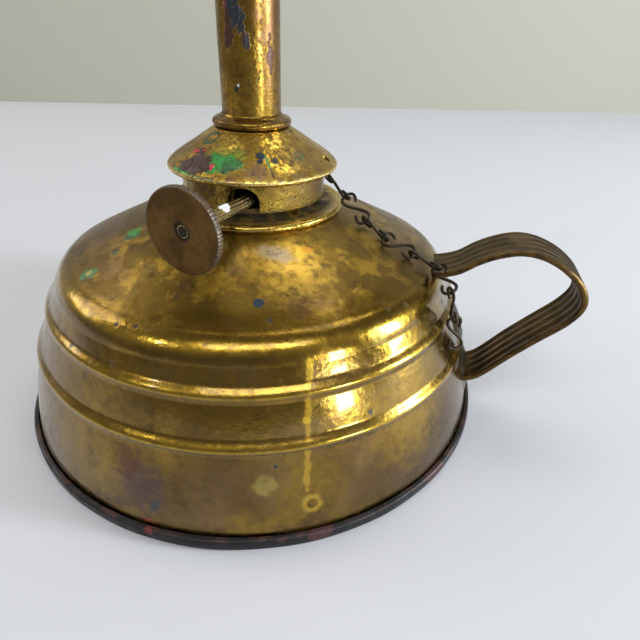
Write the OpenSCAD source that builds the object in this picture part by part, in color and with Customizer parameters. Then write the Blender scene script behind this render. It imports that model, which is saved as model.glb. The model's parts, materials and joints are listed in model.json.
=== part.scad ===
/* [Body] */
// Outside diameter of the base, over the hem
base_d = 125; // [110:1:150]
// Height of the hem that grips the foot of the wall
hem_h = 3; // [2.6:0.1:4]
// Height where the wall turns into the shoulder
shoulder_z = 37.6; // [34:0.2:46]
// How far the shoulder lies inside the foot of the wall
wall_flare = 11.5; // [8:0.5:16]
// How far the wall bellies out between foot and shoulder
wall_belly = 1.8; // [0:0.1:3]
// Rise of the dome from the shoulder to the neck
dome_rise = 14.8; // [12:0.2:20]
// Thickness of the sheet brass
sheet = 0.7; // [0.5:0.05:1]
// Width of each of the two raised beads round the wall
bead_w = 3.6; // [2.4:0.1:4.5]
// How far the beads stand out
bead_h = 0.8; // [0.4:0.1:1.2]

/* [Neck and burner] */
// Bore of the neck that the burner screws into
neck_bore_r = 14.2; // [13:0.1:15]
// How far the collar ring soldered on the dome reaches out from the neck
collar_lip = 6.7; // [5:0.1:9]
// Radius of the round wick
wick_r = 3.7; // [3:0.1:3.8]
// Gap all round the wick in its tube
wick_gap = 0.3; // [0.1:0.05:0.5]
// How far the wick tube's mouth lies below the mouth of the cover's tube
wick_tube_drop = 2; // [1:0.5:6]

/* [Cover] */
// Gap between the slotted skirt and the gallery that it slips over
skirt_gap = 0.5; // [0.3:0.05:0.8]
// How far the cone's rolled rim overhangs the skirt
rim_over = 3.1; // [2.4:0.1:4]
// Rise of the cone from its rim to the tube ring
cone_rise = 8.2; // [7:0.1:11]
// Gap between the tall tube and the wick tube inside it
tube_gap = 1.8; // [1:0.1:2.4]
// Length of the tube above its ring
tube_len = 54; // [40:1:70]

/* [Wick knob] */
// Radius of the knob
knob_r = 8.8; // [7:0.1:9.6]
// Thickness of the knob
knob_t = 1.5; // [1.2:0.1:3]
// Distance from the burner's axis to the face of the knob
knob_reach = 36; // [33:0.5:44]
// Radius of the shaft
shaft_r = 1.5; // [1.2:0.1:1.6]
// Turn of the burner, which sets where the knob points
burner_turn = -14; // [-30:1:10]

/* [Handle] */
// Width of the handle's strap
strap_w = 13; // [9:0.5:16]
// Thickness of the strap between its ribs
strap_t = 1.1; // [0.9:0.1:1.6]
// How far the handle's loop stands out from the shoulder
loop_reach = 32; // [26:1:40]

/* [Chain] */
// Wire of the chain's links
wire_d = 0.8; // [0.6:0.05:0.9]
// Distance from one joint of the chain to the next
link_pitch = 7.1; // [6.5:0.1:8]
// Width of a link over the middle of its wire
link_w = 3.3; // [3:0.1:3.8]

/* [Hidden] */
$fn = 96;

// body
foot_r = base_d / 2 - 1.3;
pan_t = 0.8;
foot_z = pan_t;
shoulder_r = foot_r - wall_flare;
neck_z = shoulder_z + dome_rise;
bead_zs = [0.6 * shoulder_z, 0.865 * shoulder_z];
dome_edge = [shoulder_r - 4.3, shoulder_z + 4.6];
dome_belly = 0.5;

// neck and burner
neck_r = neck_bore_r + 1.3;
collar_r = neck_r + collar_lip;
collar_t = 1.8;
neck_top = neck_z + 2.6;
gasket_t = 0.4;
flange_t = 0.7;
deck_z = neck_z - 2.1;
deck_t = 0.8;
screw_gap = 0.05;
flange_z = neck_top + gasket_t;
gallery_z = flange_z + flange_t;
flange_r = neck_r + 0.4;
gallery_r = flange_r;
gallery_h = 6.3;
gallery_t = 0.6;
base_wall = 0.9;
tube_wall = 0.6;
wick_tube_r = wick_r + wick_gap + tube_wall;
vent_at = (wick_tube_r + neck_bore_r) / 2;
vent_r = 1.3;

// knob and shaft: the shaft passes beside the wick tube
wheel_gap = 0.2;
wheel_r = 3.3;
wheel_t = 1.2;
wheel_out = 1.7;
wheel_teeth = 12;
shaft_x = wick_r + wheel_gap + wheel_r;
shaft_z = gallery_z + shaft_r + 0.3;
bore_gap = 0.06;
bearing_wall = 0.9;
bearing_r = shaft_r + bore_gap + bearing_wall;
bearing_from = wheel_out + 2.3;
// the bearing ends where its side would meet the burner's bore
bearing_to = sqrt(pow(neck_bore_r - base_wall, 2) - pow(shaft_x + bearing_r, 2));
ear_from = wheel_out + 2.9;
ear_t = 1.4;

// cover
skirt_t = 0.9;
skirt_r = gallery_r + skirt_gap + skirt_t;
skirt_z = neck_top + 0.3;
plate_z = gallery_z + gallery_h + 0.1;
plate_t = 0.6;
rim_r = skirt_r + rim_over;
rim_z = plate_z + 0.3;
rim_bead = 0.75;
cone_t = 0.8;
tube_r = wick_tube_r + tube_gap + tube_wall;
ring_r = tube_r + 2.25;
ring_z = rim_z + cone_rise;
ring_h = 3;
tube_top = ring_z + ring_h + tube_len;
slot_w = 2 * shaft_r + 3.4;
slot_top = shaft_z + shaft_r + 1.8;
hole_r = 0.95;
hole_at = [rim_r - 2.3, -0.5];

// chain
tip_gap = 1.15;
link_half = (link_pitch + tip_gap) / 2;
link_open = 17;
link_steps = 34;
link_sides = 8;
// each link's heading: its turn about +Z, then its dip below the horizontal
headings = [[3, 43], [-30, 35], [-28, 23], [-2, 25], [-8, 20],
    [-60, 22], [-28, 72], [-24, 77]];
// each link's roll about its own length
rolls = [-30, 40, -50, 40, -40, 30, -50, 40];
chain_start = [hole_at[0] + 0.4, hole_at[1], rim_z - 1.8];

function bez(a, b, c, t) = (1 - t) * (1 - t) * a + 2 * t * (1 - t) * b + t * t * c;
function bump(z, z0) = abs(z - z0) >= bead_w / 2 ? 0
    : bead_h * pow(cos(180 * (z - z0) / bead_w), 2);
function wall_r(z) = let (t = (z - foot_z) / (shoulder_z - foot_z))
    foot_r - wall_flare * t + 4 * wall_belly * t * (1 - t);
function beaded_r(z) = wall_r(z) + bump(z, bead_zs[0]) + bump(z, bead_zs[1]);
function dome_z(r) = let (t = (dome_edge[0] - r) / (dome_edge[0] - collar_r))
    dome_edge[1] + (neck_z - dome_edge[1]) * t + 4 * dome_belly * t * (1 - t);
// the wall's outer line, from its foot up, over the shoulder, to the neck
function bead_steps(z0) = [for (k = [-4:4]) z0 + k * bead_w / 8];
function wall_steps() = concat([for (k = [1:4]) k * bead_zs[0] / 5.4],
    bead_steps(bead_zs[0]), [(bead_zs[0] + bead_zs[1]) / 2],
    bead_steps(bead_zs[1]));
wall_top = [wall_r(shoulder_z - 0.6), shoulder_z - 0.6];
corner = [shoulder_r - 0.9, shoulder_z + 3.5];
body_line = concat([[foot_r, foot_z], [foot_r, foot_z + 0.8]],
    [for (z = wall_steps()) [beaded_r(z), z]],
    [for (k = [0:6]) bez(wall_top, corner, dome_edge, k / 6)],
    [for (k = [1:6]) let (r = dome_edge[0] - k * (dome_edge[0] - collar_r) / 6)
        [r, dome_z(r)]],
    [[neck_r, neck_z]]);

// a line's left-hand normal at point i, and the line moved along it
function left(p, i) = let (a = p[max(i - 1, 0)], b = p[min(i + 1, len(p) - 1)],
    d = b - a) [-d[1], d[0]] / norm(d);
function moved(p, t) = [for (i = [0:len(p) - 1]) p[i] + t * left(p, i)];
function flipped(p) = [for (i = [len(p) - 1:-1:0]) p[i]];

// the strap's middle line in the plane of the handle, from its root on the
// shoulder round the loop to its foot low on the wall
root_z = shoulder_z + 3;
root_at = shoulder_r - 5.4;
foot_at_z = 12;
foot_at = wall_r(foot_at_z) - 0.5;
loop_out = shoulder_r + loop_reach;
loop_h = (root_z - foot_at_z) / 28.6;
strap_pts = [[root_at, root_z], [root_at + 4.2, root_z + 0.8],
    [root_at + 8.2, root_z + 2.3], [root_at + 12.4, root_z + 5.3],
    [root_at + 16.8, root_z + 7.5], [loop_out - 16, root_z + 8.7],
    [loop_out - 11, root_z + 8.1], [loop_out - 5.8, root_z + 5.6],
    [loop_out - 1.4, root_z + 1.6], [loop_out, root_z - 2.8 * loop_h],
    [loop_out - 2.2, root_z - 7.4 * loop_h], [loop_out - 7.6, root_z - 13.3 * loop_h],
    [loop_out - 12.8, root_z - 19 * loop_h], [foot_at + 5.6, foot_at_z + 4 * loop_h],
    [foot_at + 3, foot_at_z + 1.4 * loop_h], [foot_at, foot_at_z]];
spline_steps = 4;
function spline(p, i, t) = let (a = p[max(i - 1, 0)], b = p[i], c = p[i + 1],
    d = p[min(i + 2, len(p) - 1)])
    0.5 * (2 * b + (c - a) * t + (2 * a - 5 * b + 4 * c - d) * t * t
    + (3 * b - a - 3 * c + d) * t * t * t);
strap_line = concat([for (i = [0:len(strap_pts) - 2], k = [0:spline_steps - 1])
    spline(strap_pts, i, k / spline_steps)], [strap_pts[len(strap_pts) - 1]]);
rib_h = 0.35;
rib_w = 1.3;
ribs = 5;

// chain joints, each one pitch on from the last
function heading(i) = let (a = headings[i][0], d = headings[i][1])
    [cos(a) * cos(d), sin(a) * cos(d), -sin(d)];
function chain_joint(i) = i == 0 ? chain_start
    : chain_joint(i - 1) + link_pitch * heading(i - 1);

// a link's wire: a figure of eight left open on one stroke
function link_point(t) = [link_half * cos(t), link_w / 2 * sin(2 * t), 0];
function link_dir(t) = let (d = [-link_half * sin(t), link_w * cos(2 * t), 0])
    d / norm(d);
function link_ring(t) = let (p = link_point(t), d = link_dir(t),
    n = [-d[1], d[0], 0]) [for (k = [0:link_sides - 1])
    let (a = 360 * k / link_sides)
    p + wire_d / 2 * (cos(a) * n + sin(a) * [0, 0, 1])];
function link_turn(k) = -90 + link_open + k * (360 - 2 * link_open) / link_steps;

module turned() {
    rotate([0, 0, burner_turn]) children();
}

module along_shaft(from, to, r) {
    translate([shaft_x, -from, shaft_z]) rotate([90, 0, 0])
        cylinder(r = r, h = to - from);
}

module ring(r_in, r_out, z, h) {
    translate([0, 0, z]) difference() {
        cylinder(r = r_out, h = h);
        translate([0, 0, -1]) cylinder(r = r_in, h = h + 2);
    }
}

module body_form() {
    rotate_extrude($fn = 360) polygon(concat([[0, foot_z]], body_line, [[0, neck_z]]));
}

module body_shell() {
    color("#9a7a35") rotate_extrude()
        polygon(concat(body_line, flipped(moved(body_line, sheet))));
}

module base_pan() {
    hem_in = foot_r + 0.05;
    hem_out = base_d / 2;
    roll = 0.6;
    color("#2b2723") rotate_extrude() polygon(concat(
        [[0, 0]], [for (a = [-90:22.5:0])
            [hem_out - pan_t + pan_t * cos(a), pan_t + pan_t * sin(a)]],
        [for (a = [0:30:90])
            [hem_out - roll + roll * cos(a), hem_h - roll + roll * sin(a)]],
        [[hem_in, hem_h], [hem_in, pan_t], [0, pan_t]]));
}

module neck_collar() {
    roll = collar_t / 2;
    color("#a98a3e") rotate_extrude() polygon(concat(
        [[neck_bore_r, neck_z - 3.4], [neck_r - 0.05, neck_z - 3.4],
            [neck_r - 0.05, neck_z]],
        [for (a = [-90:22.5:90])
            [collar_r - roll + roll * cos(a), neck_z + roll + roll * sin(a)]],
        [[neck_r + 0.9, neck_z + collar_t], [neck_r, neck_z + collar_t + 0.5],
            [neck_r, neck_top], [neck_bore_r, neck_top]]));
}

module strap_strip(width, thick) {
    rotate([90, 0, 0]) linear_extrude(width, center = true)
        polygon(concat(moved(strap_line, thick / 2),
            flipped(moved(strap_line, -thick / 2))));
}

module strap_whole() {
    strap_strip(strap_w, strap_t);
    rib_step = (strap_w - rib_w) / (ribs - 1);
    for (k = [0:ribs - 1])
        translate([0, (k - (ribs - 1) / 2) * rib_step, 0])
            strap_strip(rib_w, strap_t + 2 * rib_h);
}

module handle_strap() {
    color("#4a3a22") difference() {
        strap_whole();
        body_form();
    }
}

// a low pad of solder on the body's wall, with a slot where the strap goes in
module solder(at, lean, r, slot_at, tilt) {
    pad_t = 1.5;
    pad_slope = 1.4;
    slot_h = strap_t + 2 * rib_h + 0.9;
    color("#8c8676") difference() {
        translate([at[0], 0, at[1]]) rotate([0, lean, 0])
            cylinder(r1 = r, r2 = r - pad_slope, h = pad_t);
        body_form();
        translate([slot_at[0], 0, slot_at[1]]) rotate([0, tilt, 0])
            cube([2 * r, strap_w + 0.1, slot_h], center = true);
    }
}

module handle_solder_top() {
    solder([shoulder_r - 3, shoulder_z + 3], 60, strap_w / 2 + 0.2,
        (strap_pts[0] + strap_pts[2]) / 2, -14);
}

module handle_solder_foot() {
    z = foot_at_z + 0.6;
    solder([wall_r(z) - 0.7, z], 81, strap_w / 2 + 1, strap_pts[14] - [1.4, 0.8], -30);
}

module burner_gasket() {
    color("#6b4a2c") ring(neck_bore_r + 0.1, flange_r, neck_top, gasket_t);
}

module burner_base() {
    r = neck_bore_r - screw_gap;
    color("#a58437") difference() {
        union() {
            ring(r - base_wall, r, neck_z - 3, flange_z - neck_z + 3);
            ring(r - base_wall, flange_r, flange_z, flange_t);
            translate([0, 0, deck_z]) cylinder(r = r - 0.5, h = deck_t);
        }
        translate([0, 0, deck_z - 1]) cylinder(r = wick_tube_r, h = deck_t + 2);
        turned() translate([-vent_at, 0, deck_z - 1]) cylinder(r = vent_r, h = deck_t + 2);
    }
}

module burner_gallery() {
    notch_w = 2 * shaft_r + 2.4;
    holes = 8;
    hole_step = 36;
    color("#b08d3c") difference() {
        ring(gallery_r - gallery_t, gallery_r, gallery_z, gallery_h);
        turned() translate([shaft_x - notch_w / 2, -gallery_r - 1, gallery_z - 1])
            cube([notch_w, gallery_r, shaft_z + shaft_r + 1.2 - gallery_z + 1]);
        for (k = [1:holes]) turned() rotate([0, 0, -60 + k * hole_step])
            translate([gallery_r - 2, 0, gallery_z + gallery_h - 2.2])
                rotate([0, 90, 0]) cylinder(r = 0.9, h = 4);
    }
}

module wick_tube() {
    from = deck_z - 6;
    slot_h = 2 * wheel_r;
    slot_half = wheel_out + wheel_t + 0.4;
    color("#a58437") difference() {
        ring(wick_tube_r - tube_wall, wick_tube_r, from,
            tube_top - wick_tube_drop - from);
        turned() translate([wick_r - 1.2, -slot_half, shaft_z - slot_h / 2])
            cube([3, 2 * slot_half, slot_h]);
    }
}

module vent_tube() {
    color("#a58437") turned() translate([-vent_at, 0, 0])
        ring(vent_r - 0.5, vent_r, deck_z - 3, deck_t + 7);
}

module shaft_bearing() {
    color("#a58437") turned() difference() {
        along_shaft(bearing_from, bearing_to, bearing_r);
        along_shaft(bearing_from - 1, bearing_to + 1, shaft_r + bore_gap);
    }
}

module bearing_bracket() {
    color("#a58437") turned() difference() {
        translate([shaft_x - 1.5, -bearing_to + 0.8, deck_z + deck_t])
            cube([3, bearing_to - bearing_from - 1.6, shaft_z - deck_z - deck_t]);
        along_shaft(0, bearing_to + 2, bearing_r);
    }
}

module shaft_ear() {
    color("#a58437") turned() difference() {
        translate([shaft_x - 2.6, ear_from, deck_z + deck_t])
            cube([5.2, ear_t, shaft_z + 2.4 - deck_z - deck_t]);
        along_shaft(-ear_from - ear_t - 1, -ear_from + 1, shaft_r + bore_gap);
    }
}

module wick_shaft() {
    flutes = 10;
    flute_from = bearing_to + 4;
    flute_to = knob_reach - 4;
    color("#8d7d58") turned() difference() {
        along_shaft(-ear_from - ear_t - 1.6, knob_reach - 0.5, shaft_r);
        for (k = [0:flutes - 1])
            translate([shaft_x, -flute_from, shaft_z]) rotate([90, 360 * k / flutes, 0])
                translate([shaft_r + 0.12, 0, 0])
                    cylinder(r = 0.34, h = flute_to - flute_from, $fn = 24);
    }
}

module wick_wheel(from) {
    color("#b5974c") turned() difference() {
        translate([shaft_x, -from, shaft_z]) rotate([90, 0, 0])
            linear_extrude(wheel_t) polygon([for (k = [0:2 * wheel_teeth - 1])
                let (a = 180 * k / wheel_teeth, r = wheel_r - 0.7 * (k % 2))
                r * [cos(a), sin(a)]]);
        along_shaft(from - 1, from + wheel_t + 1, shaft_r);
    }
}

module wick_wheel_outer() {
    wick_wheel(wheel_out - wheel_t);
}

module wick_wheel_inner() {
    wick_wheel(-wheel_out);
}

module shaft_stop() {
    from = -ear_from + 0.3;
    color("#b5974c") turned() difference() {
        along_shaft(from, from + 1.2, shaft_r + 0.9);
        along_shaft(from - 1, from + 2, shaft_r);
    }
}

module knob_boss() {
    color("#5a3f26") turned() difference() {
        along_shaft(knob_reach - knob_t - 2, knob_reach - knob_t, shaft_r + 1.1);
        along_shaft(knob_reach - knob_t - 3, knob_reach, shaft_r);
    }
}

module knob_disc() {
    notches = 72;
    color("#5a3f26") turned() difference() {
        translate([shaft_x, knob_t - knob_reach, shaft_z]) rotate([90, 0, 0])
            linear_extrude(knob_t) polygon([for (k = [0:2 * notches - 1])
                let (a = 180 * k / notches, r = knob_r - 0.16 * (k % 2))
                r * [cos(a), sin(a)]]);
        along_shaft(knob_reach - 0.5, knob_reach + 1, 1.9);
        along_shaft(knob_reach - knob_t - 1, knob_reach, shaft_r);
    }
}

module knob_rivet() {
    color("#7a6a48") turned() along_shaft(knob_reach - 0.5, knob_reach - 0.1, 1.1);
}

module wick() {
    from = 12;
    color("#d9cfb4") translate([0, 0, from])
        cylinder(r = wick_r, h = tube_top - wick_tube_drop + 2.5 - from);
}

module cover_skirt() {
    color("#a98a3e") difference() {
        ring(skirt_r - skirt_t, skirt_r, skirt_z, plate_z - skirt_z);
        turned() {
            translate([shaft_x - slot_w / 2, -skirt_r - 1, skirt_z - 1])
                cube([slot_w, skirt_r, slot_top - slot_w / 2 - skirt_z + 1]);
            translate([shaft_x, -skirt_r - 1, slot_top - slot_w / 2])
                rotate([-90, 0, 0]) cylinder(r = slot_w / 2, h = skirt_r);
        }
    }
}

module cover_cone() {
    top = [ring_r - 0.3, ring_z];
    waist = [rim_r - 3.2, rim_z + 2.9];
    outer = concat([top], [for (k = [0:6]) bez(waist, [rim_r - 0.7, rim_z + 1.4],
        [rim_r - 0.05, rim_z + 0.3], k / 6)]);
    rim = [for (a = [0:-30:-90])
        [rim_r - rim_bead + rim_bead * cos(a), rim_z + rim_bead * sin(a)]];
    color("#a8873a") difference() {
        rotate_extrude() polygon(concat(outer, rim,
            [[rim_r - 1.4, rim_z - rim_bead], [rim_r - 1.4, plate_z],
                [gallery_r - 1.1, plate_z], [gallery_r - 1.1, plate_z + plate_t],
                [rim_r - 3.4, plate_z + plate_t],
                [waist[0] - 0.5, waist[1] - cone_t], [top[0] - cone_t, top[1] - 0.3],
                [tube_r, top[1] - 0.3], [tube_r, top[1]]]));
        translate([hole_at[0], hole_at[1], plate_z - 1]) cylinder(r = hole_r, h = 8);
    }
}

module cover_ring() {
    bulge = ring_h / 2;
    color("#a98a3e") rotate_extrude() polygon(concat([[tube_r, ring_z]],
        [for (a = [-90:22.5:90]) [ring_r - bulge + 0.1 + (bulge - 0.1) * cos(a),
            ring_z + bulge + bulge * sin(a)]],
        [[tube_r, ring_z + ring_h]]));
}

module cover_tube() {
    color("#a08038") ring(tube_r - tube_wall, tube_r, ring_z - 2,
        tube_top - ring_z + 2);
}

module cover_lip() {
    roll = 0.5;
    color("#a98a3e") rotate_extrude() translate([tube_r + roll, tube_top - roll])
        circle(r = roll, $fn = 24);
}

module chain_link(i) {
    n = link_steps;
    m = link_sides;
    rings = [for (k = [0:n]) link_ring(link_turn(k))];
    pts = [for (r = rings, p = r) p];
    sides = [for (k = [0:n - 1], j = [0:m - 1])
        [k * m + j, (k + 1) * m + j, (k + 1) * m + (j + 1) % m, k * m + (j + 1) % m]];
    ends = [[for (j = [0:m - 1]) j], [for (j = [m - 1:-1:0]) n * m + j]];
    color("#2e2a24") translate((chain_joint(i) + chain_joint(i + 1)) / 2)
        rotate([0, headings[i][1], headings[i][0]]) rotate([rolls[i], 0, 0])
            polyhedron(pts, concat(sides, ends), convexity = 6);
}

body_shell();
base_pan();
neck_collar();
handle_strap();
handle_solder_top();
handle_solder_foot();
burner_gasket();
burner_base();
burner_gallery();
wick_tube();
vent_tube();
shaft_bearing();
bearing_bracket();
shaft_ear();
wick_shaft();
wick_wheel_outer();
wick_wheel_inner();
shaft_stop();
knob_boss();
knob_disc();
knob_rivet();
wick();
cover_skirt();
cover_cone();
cover_ring();
cover_tube();
cover_lip();
chain_link(0);  // chain_hook
chain_link(1);  // chain_link_1
chain_link(2);  // chain_link_2
chain_link(3);  // chain_link_3
chain_link(4);  // chain_link_4
chain_link(5);  // chain_link_5
chain_link(6);  // chain_link_6
chain_link(7);  // chain_link_7
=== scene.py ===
# %% [markdown]
# # A brass hand lamp with a strap handle
# A squat brass reservoir stands on a dark hemmed base. A slip-on cone with a tall tube covers the
# burner, a thumb knob on a fluted shaft raises the wick, and a short chain hangs from the rim. The
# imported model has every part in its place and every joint. This notebook makes the parts that show
# again as fine surfaces, and gives each one the finish of an old lamp.

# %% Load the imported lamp
import json
import math
from types import SimpleNamespace

import bmesh
import bpy
import numpy as np
from mathutils import Matrix, Vector

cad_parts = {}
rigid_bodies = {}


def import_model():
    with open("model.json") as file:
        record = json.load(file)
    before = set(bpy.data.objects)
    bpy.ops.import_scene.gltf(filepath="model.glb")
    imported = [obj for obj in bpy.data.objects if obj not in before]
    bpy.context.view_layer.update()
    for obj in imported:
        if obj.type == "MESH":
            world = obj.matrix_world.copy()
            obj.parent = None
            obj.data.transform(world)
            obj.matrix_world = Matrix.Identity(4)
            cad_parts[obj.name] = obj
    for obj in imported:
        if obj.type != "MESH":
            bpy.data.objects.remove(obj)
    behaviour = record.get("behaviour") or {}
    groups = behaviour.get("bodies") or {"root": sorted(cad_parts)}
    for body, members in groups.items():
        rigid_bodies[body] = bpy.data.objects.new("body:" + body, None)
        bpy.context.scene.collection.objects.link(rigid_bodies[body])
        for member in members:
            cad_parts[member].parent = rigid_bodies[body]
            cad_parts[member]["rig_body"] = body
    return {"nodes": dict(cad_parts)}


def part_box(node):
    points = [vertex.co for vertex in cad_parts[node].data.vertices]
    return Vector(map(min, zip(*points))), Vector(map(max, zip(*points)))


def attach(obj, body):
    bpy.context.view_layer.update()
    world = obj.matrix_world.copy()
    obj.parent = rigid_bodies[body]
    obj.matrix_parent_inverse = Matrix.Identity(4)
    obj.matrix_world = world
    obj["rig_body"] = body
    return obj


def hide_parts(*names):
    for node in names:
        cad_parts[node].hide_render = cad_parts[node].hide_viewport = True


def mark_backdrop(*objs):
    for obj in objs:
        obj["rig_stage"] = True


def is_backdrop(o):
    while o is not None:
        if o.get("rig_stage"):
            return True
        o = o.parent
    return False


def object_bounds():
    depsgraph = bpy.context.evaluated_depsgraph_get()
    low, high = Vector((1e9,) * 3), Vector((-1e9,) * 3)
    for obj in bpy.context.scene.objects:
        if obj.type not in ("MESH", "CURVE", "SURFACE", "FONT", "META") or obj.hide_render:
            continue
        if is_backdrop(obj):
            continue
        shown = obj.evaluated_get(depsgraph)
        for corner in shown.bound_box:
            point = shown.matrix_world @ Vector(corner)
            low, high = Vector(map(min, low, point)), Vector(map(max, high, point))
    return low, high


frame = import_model()
cad_low, cad_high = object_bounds()
MM = 0.001
print(len(frame["nodes"]), "nodes, size in mm", [round(s / MM, 1) for s in cad_high - cad_low])

# %% [markdown]
# ## The camera
# The lamp is seen from close by through a wide lens, some 10 cm from the knob and looking a third of
# the way down. Heading, dip and roll are the three turns that a hand makes.

# %% Camera
CAMERA_AT = (0.0424, -0.1166, 0.0936)
HEADING, DIP, ROLL = math.radians(11.8), math.radians(31.7), math.radians(2.15)
camera = bpy.data.objects.new("camera", bpy.data.cameras.new("camera"))
camera.data.lens, camera.data.sensor_width = 27.75, 36
camera.data.clip_start = 0.005
camera.matrix_world = (Matrix.Translation(CAMERA_AT) @ Matrix.Rotation(HEADING, 4, "Z")
                       @ Matrix.Rotation(math.pi / 2 - DIP, 4, "X") @ Matrix.Rotation(ROLL, 4, "Z"))
bpy.context.scene.collection.objects.link(camera)
bpy.context.scene.camera = camera
print("camera", round(camera.matrix_world.translation.length, 3), "m from the base's centre")

# %% [markdown]
# ## A skin over a grid of points
# Nearly every part of this lamp is turned, rolled or bent, so its shape is a formula in two
# numbers: how far along the part, and how far round it. A whole array of points comes out of the
# formula at once, and a skin of four-sided faces is laid over it. Points that meet at a pole are
# merged, and the faces are made to point outwards.

# %% Skins, arcs and turned shapes
def skin(name, grid, around=True, along=False, crease=38):
    """Lays faces over grid[i, j], points in mm; around joins the last column to the first."""
    rows, cols = grid.shape[:2]
    index = np.arange(rows * cols).reshape(rows, cols)
    if around:
        index = np.concatenate([index, index[:, :1]], axis=1)
    if along:
        index = np.concatenate([index, index[:1]], axis=0)
    quads = np.stack([index[:-1, :-1], index[:-1, 1:], index[1:, 1:], index[1:, :-1]], axis=-1)
    mesh = bpy.data.meshes.new(name)
    mesh.from_pydata((grid.reshape(-1, 3) * MM).tolist(), [], quads.reshape(-1, 4).tolist())
    work = bmesh.new()
    work.from_mesh(mesh)
    bmesh.ops.remove_doubles(work, verts=work.verts, dist=1e-7)
    bmesh.ops.recalc_face_normals(work, faces=work.faces)
    work.to_mesh(mesh)
    work.free()
    mesh.shade_smooth()
    mesh.set_sharp_from_angle(angle=math.radians(crease))
    piece = bpy.data.objects.new(name, mesh)
    bpy.context.scene.collection.objects.link(piece)
    return piece


def points_of(piece):
    """The points of a piece, one row each, in mm."""
    flat = np.empty(3 * len(piece.data.vertices), np.float32)
    piece.data.vertices.foreach_get("co", flat)
    return flat.reshape(-1, 3).astype(float) / MM


def arc(centre, radius, start, end, steps):
    """Points on a circle: centre + radius (cos a, sin a), a from start to end in degrees."""
    a = np.radians(np.linspace(start, end, steps))
    return np.stack([centre[0] + radius * np.cos(a), centre[1] + radius * np.sin(a)], axis=-1)


def bend(start, corner, end, t):
    """A curve that leaves start for the corner and turns to end: a quadratic Bezier curve."""
    return (1 - t) ** 2 * np.array(start) + 2 * t * (1 - t) * np.array(corner) + t ** 2 * np.array(end)


def outline(*parts):
    """One line of (a, b) points, from single points and arrays of points in order."""
    return np.concatenate([np.atleast_2d(part) for part in parts])


def turned(profile, steps):
    """Carries a profile of (radius, height) round the lamp's axis: (r cos a, r sin a, z)."""
    a = 2 * np.pi * np.arange(steps) / steps
    r, z = profile[:, :1], profile[:, 1:]
    return np.stack([r * np.cos(a), r * np.sin(a), z + 0 * a], axis=-1)


def place(piece, body, slot, material, *nodes):
    """The piece rides on a body, takes the material as its finish and stands for the CAD nodes; slot is not
    used.
    """
    piece.data.materials.clear()
    piece.data.materials.append(material)
    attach(piece, body)
    if nodes:
        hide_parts(*nodes)
    print(f"{piece.name}: {len(piece.data.polygons)} faces on {body}")


def wobble(points, reach, waves, seed):
    """A smooth small value at each point: the mean of sine waves in seeded directions."""
    draw = np.random.default_rng(seed)
    way = draw.normal(size=(waves, 3))
    way /= np.linalg.norm(way, axis=1)[:, None]
    pitch = 2 * np.pi / (reach * draw.uniform(0.7, 1.4, waves))
    phase = draw.uniform(0, 2 * np.pi, waves)
    return np.sin(points @ (way * pitch[:, None]).T + phase).mean(axis=-1) * 1.6


def pinch(grid, share, reach, waves, seed):
    """Draws a turned grid in towards the axis by an uneven small share of its radius."""
    grid[..., :2] *= (1 - share * (1 + wobble(grid, reach, waves, seed)))[..., None]
    return grid


# %% [markdown]
# ## Node helpers and shared effects
# The finishes share a few effects, such as clouds of tarnish, specks and hair scratches. Each is a
# node group, built once and placed in each material with its own numbers. A group puts out one
# mask; the shader stays in the material.

# %% Node helpers
class Graph:
    """Adds nodes to a tree, and sets or links their inputs as they are made."""

    def __init__(self, tree):
        self.tree = tree

    def add(self, kind, inputs=None, **settings):
        node = self.tree.nodes.new("ShaderNode" + kind)
        for key, value in settings.items():
            setattr(node, key, value)
        for key, value in (inputs or {}).items():
            self.feed(node.inputs[key], value)
        return node

    def feed(self, socket, value):
        if isinstance(value, bpy.types.NodeSocket):
            self.tree.links.new(value, socket)
        else:
            socket.default_value = (*value, 1) if socket.type == "RGBA" else value

    def math(self, operation, a, b=0.0, clamp=False):
        return self.add("Math", {0: a, 1: b}, operation=operation,
                        use_clamp=clamp).outputs[0]

    def times(self, a, b):
        return self.math("MULTIPLY", a, b)

    def plus(self, a, b):
        return self.math("ADD", a, b)

    def minus(self, a, b):
        return self.math("SUBTRACT", a, b)

    def vector(self, operation, a, b=(0, 0, 0)):
        return self.add("VectorMath", {0: a, 1: b}, operation=operation).outputs[0]

    def length(self, a):
        return self.add("VectorMath", {0: a}, operation="LENGTH").outputs["Value"]

    def scaled(self, a, factor):
        return self.add("VectorMath", {0: a, "Scale": factor}, operation="SCALE").outputs[0]

    def span(self, value, low, high, to_low=0.0, to_high=1.0):
        return self.add("MapRange", {
            "Value": value, "From Min": low, "From Max": high, "To Min": to_low, "To Max": to_high},
            interpolation_type="SMOOTHSTEP").outputs[0]

    def blend(self, mask, a, b):
        return self.add("Mix", {0: mask, 2: a, 3: b}, data_type="FLOAT").outputs[0]

    def noise(self, where, scale, detail=4.0, rough=0.55):
        return self.add("TexNoise", {"Vector": where, "Scale": scale, "Detail": detail,
                        "Roughness": rough}).outputs["Fac"]

    def mix(self, mask, a, b):
        node = self.add("Mix", data_type="RGBA")
        self.feed(node.inputs["Factor"], mask)
        self.feed(node.inputs[6], a)
        self.feed(node.inputs[7], b)
        return node.outputs[2]

    def height(self, where):
        return self.add("SeparateXYZ", {0: where}).outputs["Z"]

    def stored(self, name):
        return self.add("Attribute", attribute_name=name).outputs["Fac"]

    def group(self, name, **inputs):
        node = self.add("Group", node_tree=GROUPS[name])
        for key, value in inputs.items():
            self.feed(node.inputs[key.capitalize()], value)
        return node.outputs[0]


GROUPS = {}


def new_finish(name):
    """A new material, with its graph and its shader."""
    material = bpy.data.materials.new(name)
    material.use_nodes = True
    return material, Graph(material.node_tree), material.node_tree.nodes["Principled BSDF"]


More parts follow.
